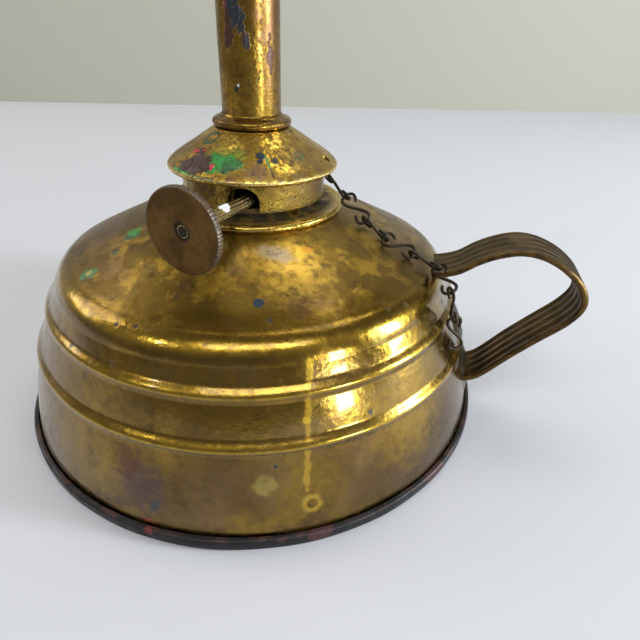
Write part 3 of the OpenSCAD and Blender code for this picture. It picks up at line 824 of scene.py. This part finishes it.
BURNER_TURN = math.radians(-14)
disc_low, disc_high = (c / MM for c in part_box("knob_disc"))
KNOB_R, SHAFT_Z = (disc_high.z - disc_low.z) / 2, (disc_high.z + disc_low.z) / 2
SHAFT_X, SHAFT_R, KNOB_REACH, KNOB_T = 7.2, 1.5, 36.0, 1.5


def on_burner(points):
    """Turns points from the burner's own frame, where the shaft runs along -Y, to the lamp's."""
    turn = np.array([[math.cos(BURNER_TURN), math.sin(BURNER_TURN), 0],
                     [-math.sin(BURNER_TURN), math.cos(BURNER_TURN), 0], [0, 0, 1]])
    return points @ turn


def round_the_shaft(profile, steps, across=1.0):
    """Carries (radius, reach) round the shaft's axis; across scales each angle's radius."""
    a = 2 * np.pi * np.arange(steps) / steps
    r, reach = profile[:, :1] * across, profile[:, 1:]
    return on_burner(np.stack([SHAFT_X + r * np.cos(a), -reach + 0 * a, SHAFT_Z + r * np.sin(a)], axis=-1))


skirt_low, skirt_high = (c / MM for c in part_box("cover_skirt"))
SKIRT_R, SKIRT_T = skirt_high.x, 0.9
skirt_line = outline(arc((SKIRT_R - 0.35, skirt_low.z + 0.35), 0.35, -90, 0, 6),
                     [[SKIRT_R, z] for z in np.linspace(skirt_low.z + 1, skirt_high.z, 16)],
                     (SKIRT_R - SKIRT_T, skirt_high.z), (SKIRT_R - SKIRT_T, skirt_low.z))
skirt = skin("slotted_skirt", pinch(turned(skirt_line, 260), 0.0018, 9, 9, 51), along=True)
SLOT_W, SLOT_TOP = 2 * SHAFT_R + 3.4, SHAFT_Z + SHAFT_R + 1.8
slot_line = outline((SHAFT_X + SLOT_W / 2, skirt_low.z - 1),
                    arc((SHAFT_X, SLOT_TOP - SLOT_W / 2), SLOT_W / 2, 0, 180, 21),
                    (SHAFT_X - SLOT_W / 2, skirt_low.z - 1))
slot_grid = np.stack([np.stack([slot_line[:, 0], reach + 0 * slot_line[:, 0], slot_line[:, 1]], axis=-1)
                      for reach in (-SKIRT_R - 2, -SKIRT_R / 2)])


def cap_ends(piece):
    """Closes the open ends of a swept piece with one flat face each."""
    work = bmesh.new()
    work.from_mesh(piece.data)
    bmesh.ops.holes_fill(work, edges=[e for e in work.edges if e.is_boundary], sides=0)
    bmesh.ops.recalc_face_normals(work, faces=work.faces)
    work.to_mesh(piece.data)
    work.free()


slot_cutter = skin("slot_cutter", on_burner(slot_grid))
cap_ends(slot_cutter)
cut(skirt, slot_cutter)
print("skirt", len(skirt.data.polygons), "faces after the slot")

# %% Cone
cone_low, cone_high = (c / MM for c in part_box("cover_cone"))
RIM_R, RIM_BEAD, CONE_TOP = cone_high.x, 0.75, cone_high.z
RIM_Z = cone_low.z + RIM_BEAD
PLATE_Z, PLATE_T, INNER_R = skirt_high.z, 0.6, NECK_R + 0.4 - 1.1
TUBE_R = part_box("cover_tube")[1].x / MM
WAIST = np.array([RIM_R - 3.2, RIM_Z + 2.9])
t = np.linspace(0, 1, 26)[:, None]
RING_FOOT = (TUBE_R + 1.95, CONE_TOP)
flank = np.array([RING_FOOT]) * (1 - t) + WAIST * t
brow = bend(WAIST, [RIM_R - 0.7, RIM_Z + 1.4], [RIM_R - 0.05, RIM_Z + 0.3], t)
cone_line = outline(
    flank, brow[1:], arc((RIM_R - RIM_BEAD, RIM_Z), RIM_BEAD, 0, -90, 10), (RIM_R - 1.4, RIM_Z - RIM_BEAD),
    (RIM_R - 1.4, PLATE_Z), (INNER_R, PLATE_Z), (INNER_R, PLATE_Z + PLATE_T),
    (RIM_R - 3.4, PLATE_Z + PLATE_T), WAIST - (0.5, 0.8), (RING_FOOT[0] - 0.8, CONE_TOP - 0.3),
    (TUBE_R, CONE_TOP - 0.3), (TUBE_R, CONE_TOP))
cone_grid = turned(cone_line, 240)
sag = 0.07 * (wobble(cone_grid, 6, 9, 61) + 0.4 * wobble(cone_grid, 2, 9, 62) - 1)
cone_grid[..., 2] += np.where((np.arange(len(cone_line)) < 50)[:, None] & (cone_grid[..., 2] > RIM_Z + 0.2)
                              & (cone_grid[..., 2] < CONE_TOP - 0.1), sag, 0)
cone = skin("rimmed_cone", cone_grid, along=True)
HOLE_R, HOLE_AT = 0.95, (RIM_R - 2.3, -0.5)
hole_grid = turned(np.array([[HOLE_R, PLATE_Z - 1], [HOLE_R, PLATE_Z + 7]]), 32) + (*HOLE_AT, 0)
hole_cutter = skin("hole_cutter", hole_grid)
cap_ends(hole_cutter)
cut(cone, hole_cutter)
print("cone", len(cone.data.polygons), "faces after the hole")

# %% Ring, tube and lip
ring_low, ring_high = (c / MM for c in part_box("cover_ring"))
RING_R, RING_Z, RING_H = ring_high.x, ring_low.z, ring_high.z - ring_low.z
flare = bend([TUBE_R + 0.02, RING_Z + RING_H], [TUBE_R + 0.3, RING_Z + 2.4], [RING_R - 0.9, RING_Z + 2.1], t)
ring_line = outline(flare, arc((RING_R - 1.0, RING_Z + 1.1), 1.0, 80, -90, 16)[1:], (RING_R - 1.6, RING_Z),
                    (TUBE_R - 0.1, RING_Z), (TUBE_R - 0.1, RING_Z + RING_H))
ring = skin("tube_ring", pinch(turned(ring_line, 180), 0.004, 4, 9, 71), along=True)
TUBE_LOW, TUBE_TOP = (c.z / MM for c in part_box("cover_tube"))
SEAM, TUBE_WALL = math.radians(152), 0.6
LAP, LAP_HALF_W, LAP_STEP = 0.14, 1.3, 0.12
tube_z = np.linspace(TUBE_LOW, TUBE_TOP, 130)
wall = np.stack([TUBE_R + 0 * tube_z, tube_z], axis=-1)
tube_grid = turned(outline(wall, np.stack([TUBE_R - TUBE_WALL + 0 * tube_z, tube_z], axis=-1)[::-1]), 180)
bearing = np.arctan2(tube_grid[..., 1], tube_grid[..., 0])
lap = LAP / (1 + np.exp((np.abs(bearing - SEAM) * TUBE_R - LAP_HALF_W) / LAP_STEP))
dent = 0.05 * (wobble(tube_grid, 14, 9, 81) - 1) * (tube_grid[..., 2] > RING_Z + RING_H)
outside = (np.arange(len(tube_grid)) < len(wall))[:, None]
tube_grid[..., :2] *= (1 + (np.where(outside, lap - LAP, 0) + dent) / TUBE_R)[..., None]
tube = skin("tall_tube", tube_grid, along=True)
lip_low, lip_high = (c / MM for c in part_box("cover_lip"))
LIP_ROLL = (lip_high.z - lip_low.z) / 2
lip_line = arc((lip_high.x - LIP_ROLL, lip_high.z - LIP_ROLL), LIP_ROLL, 0, 345, 24)
lip = skin("tube_lip", pinch(turned(lip_line, 160), 0.003, 5, 9, 91), along=True)

# %% [markdown]
# ## The cover's finish
# The cone is bright brass and caught most of the paint: a green patch, a dark brown blotch that
# runs to the rim, and blue flakes on a green stem. The tube is browner, with long smears of dark
# red and blue-black, which are splashes stretched along its height.

# %% Cover finish
TALL = (1, 1, 0.22)
cone_marks = [
    mottle(CONE_TOP - 5, CONE_TOP + 2, 330, UMBER, 0.42, 0.6, 0.5, 0.8, -0.5),
    mottle(RIM_Z, CONE_TOP + 2, 600, (0.11, 0.06, 0.02), 0.45, 0.65, 0.45, 0.8, -0.6),
    mottle(RIM_Z - 2, RIM_Z + 2.4, 260, (0.14, 0.075, 0.05), 0.5, 0.75, 0.45, 0.6),
    *splashes(
        (-25, 17, 66, 8, (0.13, 0.085, 0.04), 16, 0.7, 0.45, 0.8, -0.3, 0.1),
        (-150, 16, 66.5, 6.5, (0.14, 0.085, 0.04), 14, 0.8, 0.45, 0.8, -0.3, 0.1),
        (-68, 18.6, 65, 3.8, (0.17, 0.095, 0.07), 7, 0.75, 0.4, 0.6, 0, 0.2, (0.8, 1, 1.2)),
        (-96, 14.5, 67.3, 4.2, (0.16, 0.24, 0.03), 9, 0.65, 0.3, 0.5, 0.6, 0.15, (0.6, 1, 1)),
        (-95, 16.6, 65.8, 3.5, GREEN, 6.5, 1, 0.28, 0, 2.5, 0.5, (0.6, 1, 1)),
        (-88, 17.6, 65.2, 2.2, DEEP_GREEN, 5.5, 0.85, 0.28, 0, 2, 0.2, (0.75, 1, 1)),
        (-84, 16.4, 66, 1.8, (0.03, 0.15, 0.03), 5, 0.8, 0.35, 0, 1.6, 0.3, (0.7, 1, 1)),
        (-103, 15.4, 66.8, 1.3, GREEN, 3.5, 1, 0.28, 0, 2.5, 0.8, (0.7, 1, 1)),
        (-114, 17.8, 65.2, 3, MAROON, 4, 1, 0.4, 0, 2, 0.8, (0.75, 0.9, 1)),
        (-124, 18.6, 64.6, 2, MAROON, 3.5, 1, 0.4, 0, 2),
        (-120, 14.6, 67.3, 1, MAROON, 3, 1, 0.4, 0, 2, 0.8, (0.55, 1, 1)),
        (-100.5, 17.5, 65.4, 0.75, CRIMSON, 1.1, 1, 0.25, 0, 3.5),
        (-100, 18.2, 64.8, 0.4, CRIMSON, 0.8, 1, 0.25, 0, 3.5),
        (-127, 15.2, 67, 0.55, CRIMSON, 1.6, 1, 0.3, 0, 2.5, 0.8, (0.5, 1, 1)),
        (-118, 14.4, 67.6, 0.5, CRIMSON, 1.4, 1, 0.3, 0, 2.5, 0.8, (0.5, 1, 1)),
        (-64, 14.6, 67.5, 1.15, NAVY, 1.6, 1, 0.3, 0.2, 2.5),
        (-65, 15.8, 66.6, 0.6, NAVY, 1.4, 1, 0.3, 0.2, 2.5),
        (-53, 15.8, 66.6, 0.85, NAVY, 2, 1, 0.3, 0.2, 2)),
    run(at(-60, 14.6, 67.5), at(-59, 17.2, 65.6), 0.35, GREEN, 0.6, 0.9, 0.3, 0, 1.5),
    run(at(-58.5, 17.6, 65.4), at(-58, 19.6, 64), 0.28, MAROON, 0.5, 0.9, 0.4, 0, 1),
    *splashes(
        (-124, 11.4, 69.5, 2.1, DEEP_GREEN, 1.4, 1, 0.3, 0, 2, 0.8, (1, 1, 0.8), 1.2),
        (-121, 10.9, 69.9, 0.8, ORANGE, 0.9, 1, 0.3, 0, 2.5, 0.8, (1, 1, 0.8)),
        (-30, 15.5, 66.8, 1.4, DEEP_GREEN, 2.4, 0.6, 0.4, 0, 1, 0.8, (1, 1, 1), 0.7)),
    run(at(-132, 20, 63.6), at(-114, 20.3, 63.3), 0.6, GREEN, 1.2, 1, 0.3, 0, 1.5),
    run(at(-114, 20.3, 63.3), at(-96, 20.3, 63.2), 0.55, DEEP_GREEN, 1.3, 1, 0.3, 0, 1.5),
    mark("worn", PALE_GOLD, 0.75, 0.22, 1.0),
]
cone_brass = metal("cone_brass", (0.62, 0.40, 0.055), (0.38, 0.235, 0.035), (0.09, 0.05, 0.014),
                   rough=(0.22, 0.38), clouds=150.0, specks=0.4, relief=0.00013, grain=560.0,
                   marks=cone_marks, grime=0.6)
skirt_marks = [
    *splashes(
        (-112, SKIRT_R, 59.5, 6, UMBER, 12, 0.9, 0.4, 0.8, -0.4, 0.2),
        # This taupe streak on the right side is a painted reflection of the warm room.
        (-28, SKIRT_R, 60, 5, TAUPE, 12, 0.5, 0.4, 0.8, 0, 0.15, (0.7, 0.7, 1.1))),
    mottle(skirt_low.z, skirt_high.z, 420, UMBER, 0.45, 0.6, 0.45, 0.8, -0.5),
    *splashes(
        # This umber stain darkens the skirt's right side: painted shade.
        (-8, SKIRT_R, 59.5, 5, UMBER, 10, 0.7, 0.45, 0.8, 0, 0.2)),
    mottle(skirt_low.z - 1, skirt_low.z + 1.4, 200, SOOT, 0.7, 0.85, 0.5, 0.3),
]
skirt_brass = metal("skirt_brass", (0.42, 0.28, 0.045), (0.25, 0.16, 0.03), (0.07, 0.045, 0.016),
                    rough=(0.2, 0.36), clouds=180.0, specks=0.4, relief=0.00012, grain=520.0,
                    marks=skirt_marks, grime=0.6)
tube_marks = [
    mottle(RING_Z, RING_Z + 5, 300, UMBER, 0.5, 0.8, 0.45, 0.8, -0.4),
    *splashes(
        (-20, TUBE_R, 92, 5, (0.20, 0.10, 0.06), 12, 0.6, 0.35, 0.8, 0, 0.2, TALL),
        (-107, TUBE_R, 91, 1.3, MAROON, 3, 0.9, 0.35, 0.3, 1.5, 0.8, TALL),
        (-112, TUBE_R, 99, 1.2, (0.25, 0.01, 0.03), 3.4, 0.6, 0.35, 0, 1.5, 0.4, TALL),
        (-80, TUBE_R, 89, 0.6, MAROON, 1.2, 0.9, 0.35, 0, 1.5, 0.8, (1, 1, 0.3)),
        (-30, TUBE_R, 86, 0.9, MAROON, 2.4, 0.85, 0.35, 0.3, 1.5, 0.8, TALL),
        (-96, TUBE_R, 94.5, 1.5, NAVY, 3, 0.95, 0.35, 0.2, 1.5, 0.8, (1, 1, 0.35)),
        (-84, TUBE_R, 92, 1, NAVY, 2.6, 0.9, 0.35, 0.2, 1.5, 0.8, (1, 1, 0.4)),
        (-73, TUBE_R, 88, 0.7, NAVY, 1.8, 0.9, 0.35, 0.2, 1.5, 0.8, (1, 1, 0.4)),
        (-97, TUBE_R, 79.4, 0.8, SOOT, 1.2, 1, 0.5, 0, 1),
        (-93, TUBE_R, 80.2, 0.4, CHALK, 0.7, 1, 0.5, 0, 2.5),
        (-60, TUBE_R, 108, 2.2, MAROON, 5, 0.7, 0.35, 0.3, 1, 0.8, TALL),
        (60, TUBE_R, 97, 1.6, NAVY, 4, 0.7, 0.35, 0.3, 1, 0.8, TALL),
        (150, TUBE_R, 112, 1.8, MAROON, 4, 0.7, 0.35, 0.3, 1, 0.8, TALL)),
    mottle(TUBE_TOP - 9, TUBE_TOP + 2, 160, SOOT, 0.62, 0.8, 0.6, 0.2),
]
tube_brass = metal("tube_brass", (0.33, 0.195, 0.03), (0.18, 0.10, 0.018), (0.05, 0.028, 0.009),
                   rough=(0.2, 0.36), clouds=130.0, specks=0.36, relief=0.00006, grain=600.0,
                   marks=tube_marks, grime=0.6)
paint_wear(cone, lambda r, z: 1.2 * crest(z, RIM_Z + 0.1, 0.35) * (r > RIM_R - 0.6))
for piece, brass, node in ((skirt, skirt_brass, "cover_skirt"), (cone, cone_brass, "cover_cone"),
                           (ring, tube_brass, "cover_ring"), (tube, tube_brass, "cover_tube"),
                           (lip, tube_brass, "cover_lip")):
    place(piece, "cover", "cover_brass", brass, node)

# %% [markdown]
# ## The knob and its fluted shaft
# The knob is a thin disc with a milled edge, riveted over the end of a fluted shaft. The disc's
# radius dips 72 times a turn, which makes the milling. The shaft's radius dips ten times, and the
# dips fade out where the shaft runs in its bearing.

# %% Knob
NOTCHES, NOTCH, DIMPLE_R = 72, 0.10, 1.9
KNOB_BORE_R, DIMPLE_REACH = SHAFT_R + 0.02, KNOB_REACH - 0.5
face = [(r, KNOB_REACH - 0.10 * math.sin(math.pi * (KNOB_R - r) / KNOB_R))
        for r in np.linspace(KNOB_R - 0.6, DIMPLE_R + 0.5, 14)]
knob_line = outline(
    (KNOB_BORE_R, KNOB_REACH - KNOB_T), (KNOB_R - 0.5, KNOB_REACH - KNOB_T),
    arc((KNOB_R - 0.3, KNOB_REACH - KNOB_T + 0.3), 0.3, -90, 0, 6),
    arc((KNOB_R - 0.35, KNOB_REACH - 0.35), 0.35, 0, 90, 7), face,
    arc((DIMPLE_R + 0.3, KNOB_REACH - 0.4), 0.3, 90, 180, 5), (DIMPLE_R, DIMPLE_REACH),
    (KNOB_BORE_R, DIMPLE_REACH))
a = 2 * np.pi * np.arange(NOTCHES * 6) / (NOTCHES * 6)
milled = 1 - NOTCH / KNOB_R * (0.5 - 0.5 * np.cos(NOTCHES * a)) * (knob_line[:, :1] > KNOB_R - 0.5)
disc = skin("milled_knob", round_the_shaft(knob_line, len(a), milled), along=True, crease=45)
knob_at = on_burner(np.array([SHAFT_X, -KNOB_REACH, SHAFT_Z]))
reach_now = points_of(disc) - knob_at
out_way = on_burner(np.array([0.0, -1.0, 0.0]))
from_axis = np.linalg.norm(reach_now - np.outer(reach_now @ out_way, out_way), axis=1)
store(disc, worn=np.clip((from_axis - KNOB_R + 0.45) / 0.3, 0, 1))
knob_brass = metal("knob_brass", (0.155, 0.082, 0.019), (0.10, 0.052, 0.013), (0.04, 0.022, 0.008),
                   rough=(0.36, 0.5), clouds=150.0, specks=0.25, relief=0.00007, metallic=0.95, marks=[
                       splash(knob_at, 2.6, SOOT, 1.8, 0.9, 0.6, 0.3, edge=0.5),
                       mark("worn", (0.20, 0.19, 0.18), 0.5, 0.4, 0.9)])
place(disc, "knob", "knob_brass", knob_brass, "knob_disc")
RIVET_R, RIVET_H = 1.1, 0.33
rise = np.linspace(0.15, np.pi / 2, 10)
dome = np.stack([RIVET_R * np.cos(rise), KNOB_REACH - 0.45 + RIVET_H * np.sin(rise)], axis=-1)
rivet_line = outline((0, DIMPLE_REACH), (RIVET_R, DIMPLE_REACH), dome)
rivet = skin("knob_rivet_head", round_the_shaft(rivet_line, 48))
rivet_brass = metal("rivet_brass", (0.07, 0.058, 0.04), (0.04, 0.03, 0.02), SOOT, rough=(0.3, 0.5),
                    clouds=400.0, metallic=0.9)
place(rivet, "knob", "knob_brass", rivet_brass, "knob_rivet")

# %% Shaft
FLUTES, FLUTE, FLUTE_FROM, FLUTE_TO, SHAFT_FROM = 10, 0.24, 13.1, 32.0, -7.6
reach = np.linspace(SHAFT_FROM, DIMPLE_REACH, 120)[1:-1]
shaft_line = outline((0, SHAFT_FROM), (SHAFT_R - 0.2, SHAFT_FROM),
                     np.stack([SHAFT_R + 0 * reach, reach], axis=-1), (SHAFT_R - 0.2, DIMPLE_REACH),
                     (0, DIMPLE_REACH))
a = 2 * np.pi * np.arange(160) / 160
reach = shaft_line[:, 1:]
fluted = np.clip((reach - FLUTE_FROM) / 0.8, 0, 1) * np.clip((FLUTE_TO - reach) / 0.8, 0, 1)
hollows = 1 - FLUTE / SHAFT_R * fluted * (0.5 + 0.5 * np.cos(FLUTES * a)) ** 1.6
shaft = skin("fluted_shaft", round_the_shaft(shaft_line, len(a), hollows))
blob = on_burner(np.array([SHAFT_X + 0.3, -22.5, SHAFT_Z + SHAFT_R]))
shaft_brass = metal("shaft_brass", (0.42, 0.34, 0.16), (0.22, 0.17, 0.08), (0.06, 0.045, 0.025),
                    rough=(0.26, 0.42), clouds=260.0, specks=0.3, relief=0.00006, marks=[
                        splash(blob, 1.7, CHALK, 2.4, 1, 0.4, 0, 3)])
place(shaft, "knob", "shaft_brass", shaft_brass, "wick_shaft")

# %% [markdown]
# ## The chain
# Each link is a figure of eight of wire, left open at one end so that the next can be hooked in: its
# middle line is (half cos t, width/2 sin 2t). The route is the frame's: a heading, a dip and a roll
# for each link. The wire's round section tapers to a blunt tip at both cut ends.

# %% Chain
PITCH, TIP_GAP, LINK_W, WIRE_R, OPENING = 7.1, 1.15, 3.3, 0.38, 17
LINK_HALF = (PITCH + TIP_GAP) / 2
HEADINGS = ((3, 43), (-30, 35), (-28, 23), (-2, 25), (-8, 20), (-60, 22), (-28, 72), (-24, 77))
ROLLS = (-30, 40, -50, 40, -40, 30, -50, 40)
CHAIN_START = np.array([HOLE_AT[0] + 0.4, HOLE_AT[1], RIM_Z - 1.8])


def link_wire(rings, sides):
    """One link's wire in its own frame, before it is turned into place."""
    t = np.radians(np.linspace(-90 + OPENING, 270 - OPENING, rings))[:, None]
    middle = np.concatenate([LINK_HALF * np.cos(t), LINK_W / 2 * np.sin(2 * t), 0 * t], axis=1)
    way = np.concatenate([-LINK_HALF * np.sin(t), LINK_W * np.cos(2 * t), 0 * t], axis=1)
    way /= np.linalg.norm(way, axis=1)[:, None]
    side = np.stack([-way[:, 1], way[:, 0], way[:, 2]], axis=-1)[:, None]
    a = (2 * np.pi * np.arange(sides) / sides)[None, :, None]
    from_tip = np.minimum(np.arange(rings), np.arange(rings)[::-1])
    radius = WIRE_R * np.sqrt(1 - (1 - np.minimum(from_tip, 3) / 3) ** 2)
    return middle[:, None] + radius[:, None, None] * (np.cos(a) * side + np.sin(a) * np.array([0, 0, 1.0]))


wire = metal("chain_wire", (0.055, 0.042, 0.026), (0.03, 0.023, 0.016), (0.012, 0.009, 0.007),
             rough=(0.34, 0.5), clouds=320.0, specks=0.2, metallic=0.85)
joint = CHAIN_START
link_nodes = ["chain_hook"] + [f"chain_link_{k}" for k in range(1, len(HEADINGS))]
for k, (node, (turn, dip)) in enumerate(zip(link_nodes, HEADINGS)):
    turn_by = (Matrix.Rotation(math.radians(turn), 3, "Z") @ Matrix.Rotation(math.radians(dip), 3, "Y")
               @ Matrix.Rotation(math.radians(ROLLS[k]), 3, "X"))
    ahead = joint + PITCH * np.array(turn_by)[:, 0]
    link = skin(f"wire_{node}", link_wire(96, 12) @ np.array(turn_by).T + (joint + ahead) / 2)
    place(link, frame["nodes"][node]["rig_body"], "chain_wire", wire, node)
    joint = ahead

# %% [markdown]
# ## The wick
# The wick is a plaited cotton cord that fills its tube. Two sets of strands climb round it in
# opposite directions, and the higher of the two sets a point's radius. Its top is burnt black.

# %% Wick
wick_low, wick_high = (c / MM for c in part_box("wick"))
WICK_R, STRANDS, LAY = wick_high.x, 12, 13.0
wick_z = np.linspace(wick_low.z, wick_high.z, 360)
a = 2 * np.pi * np.arange(96) / 96
climb = 2 * np.pi * wick_z[:, None] / LAY
over = np.maximum(np.cos(STRANDS * a / 2 + climb * 3), np.cos(STRANDS * a / 2 - climb * 3))
fray = np.clip((wick_high.z - wick_z) / 1.2, 0, 1)[:, None] ** 0.5
wick_r = (WICK_R - 0.16 + 0.16 * over) * (0.25 + 0.75 * fray)
wick_r[[0, -1]] = 0
wick_grid = np.stack([wick_r * np.cos(a), wick_r * np.sin(a), wick_z[:, None] + 0 * a], axis=-1)
wick_piece = skin("plaited_wick", wick_grid)


def cotton(name, clean, oiled, burnt_above):
    """Cotton that is stained with oil and burnt black above a height in mm."""
    material, graph, shader = new_finish(name)
    where = graph.add("TexCoord").outputs["Object"]
    colour = graph.mix(graph.group("clouds", where=where, scale=160.0, low=0.35, high=0.65), clean, oiled)
    burnt = graph.group("mottle", where=where, low=burnt_above * MM, high=1.0, scale=200.0, share=1.0)
    graph.feed(shader.inputs["Base Color"], graph.mix(burnt, colour, SOOT))
    graph.feed(shader.inputs["Roughness"], graph.blend(burnt, 0.8, 0.95))
    bump = graph.add("Bump", {"Height": graph.noise(where, 2600.0, 3.0), "Distance": 0.00006})
    graph.feed(shader.inputs["Normal"], bump.outputs[0])
    return material


lamp_cotton = cotton("wick_cotton", (0.62, 0.55, 0.40), (0.36, 0.27, 0.14), wick_high.z - 3)
place(wick_piece, "wick", "wick_cotton", lamp_cotton, "wick")

# %% [markdown]
# ## The parts that stay as they are
# The burner's inner parts show only through the slot or with the cover lifted. They keep their
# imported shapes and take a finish: brass with soot and oil, and a leather washer.

# %% Inner parts
burner_brass = metal("burner_brass", (0.46, 0.31, 0.08), (0.26, 0.17, 0.05), (0.06, 0.04, 0.02),
                     rough=(0.26, 0.44), clouds=150.0, specks=0.3, relief=0.00006, marks=[
                         mottle(NECK_Z - 4, NECK_TOP + 5, 160, SOOT, 0.45, 0.7, 0.55, 0.3)])
leather = metal("gasket_leather", (0.16, 0.08, 0.035), (0.09, 0.045, 0.02), (0.03, 0.018, 0.01),
                rough=(0.55, 0.8), clouds=300.0, metallic=0.0, relief=0.00010)
OWN_FINISH = {"burner_gasket": leather, "knob_boss": knob_brass}
kept = [node for node in frame["nodes"].values() if node.visible_get()]
for node in kept:
    for entry in node.material_slots:
        entry.material = OWN_FINISH.get(node.name, burner_brass)
print("kept", [node.name for node in kept])

# %% [markdown]
# ## Table, backdrop and light
# The lamp stands on a pale table in front of a pale wall. A pair of bright panes on the right
# stands for a window, and their reflections are the bright marks along the crest and the beads. A
# weak light from the left puts a glint there, and three wide panes fill in the dome and the back.

# %% Table and wall
TABLE_TURN, TABLE_REACH, TABLE_W = math.radians(18.6), 507.0, 1600.0


def sheet_between(name, a, b):
    """A flat sheet that runs from line a to line b, each a depth and a height in mm."""
    corners = np.array([[[x, depth, height] for x in (-TABLE_W, TABLE_W)] for depth, height in (a, b)], float)
    turn = np.array([[math.cos(TABLE_TURN), math.sin(TABLE_TURN), 0],
                     [-math.sin(TABLE_TURN), math.cos(TABLE_TURN), 0], [0, 0, 1]])
    return skin(name, corners @ turn, around=False)


def plain(name, colour, rough):
    material, graph, shader = new_finish(name)
    graph.feed(shader.inputs["Base Color"], colour)
    graph.feed(shader.inputs["Roughness"], rough)
    return material


table = sheet_between("table", (-1200, -0.02), (TABLE_REACH, -0.02))
backdrop = sheet_between("backdrop", (TABLE_REACH, -0.02), (TABLE_REACH, 1200))
table.data.materials.append(plain("pale_table", (0.57, 0.585, 0.63), 0.85))
backdrop.data.materials.append(plain("pale_wall", (0.40, 0.39, 0.33), 0.9))
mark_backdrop(table, backdrop)


# %% Light
def pane(name, bearing, height, distance, size, power, colour=(1, 1, 1), aim=(0, 0, 0.035)):
    """A rectangular light at a bearing and a height in degrees, turned to the lamp."""
    a, h = math.radians(bearing), math.radians(height)
    out = Vector((math.cos(a) * math.cos(h), math.sin(a) * math.cos(h), math.sin(h))) * distance
    where = out + Vector(aim)
    light = bpy.data.objects.new(name, bpy.data.lights.new(name, "AREA"))
    light.data.shape, light.data.size, light.data.size_y = "RECTANGLE", size[0], size[1]
    light.data.energy, light.data.color = power, colour
    turn = (where - Vector(aim)).to_track_quat("Z", "Y").to_matrix().to_4x4()
    light.matrix_world = Matrix.Translation(where) @ turn
    bpy.context.scene.collection.objects.link(light)


pane("window_left", -32, 4, 0.9, (0.13, 0.20), 3.0, (0.90, 0.96, 1.0))
pane("window_right", 4, 14, 0.9, (0.16, 0.36), 8.5, (0.90, 0.96, 1.0))
pane("overhead", -72, 56, 1.2, (1.0, 0.34), 5.4)
pane("side", 172, 30, 1.1, (0.7, 0.6), 5.0, (1.0, 0.97, 0.92))
pane("ceiling", 95, 62, 1.1, (0.9, 0.6), 6.0)
pane("glint", -129, 36, 1.0, (0.05, 0.08), 0.6)
world = bpy.data.worlds.new("room")
world.use_nodes = True
room = world.node_tree.nodes["Background"].inputs
room["Color"].default_value, room["Strength"].default_value = (0.80, 0.76, 0.68, 1), 0.34
bpy.context.scene.world = world
bpy.context.scene.view_settings.view_transform = "Standard"

# %% [markdown]
# ## Sizes and the last line
# The script prints how far the visual model's box reaches past the imported model's box on each side.
# The visual model has to stay inside the imported model's box.

# %% Write the sizes and finish
new_low, new_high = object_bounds()
grown = zip((*cad_low, *new_high), (*new_low, *cad_high))
print("grew by, in mm", [round((a - b) / MM, 2) for a, b in grown])
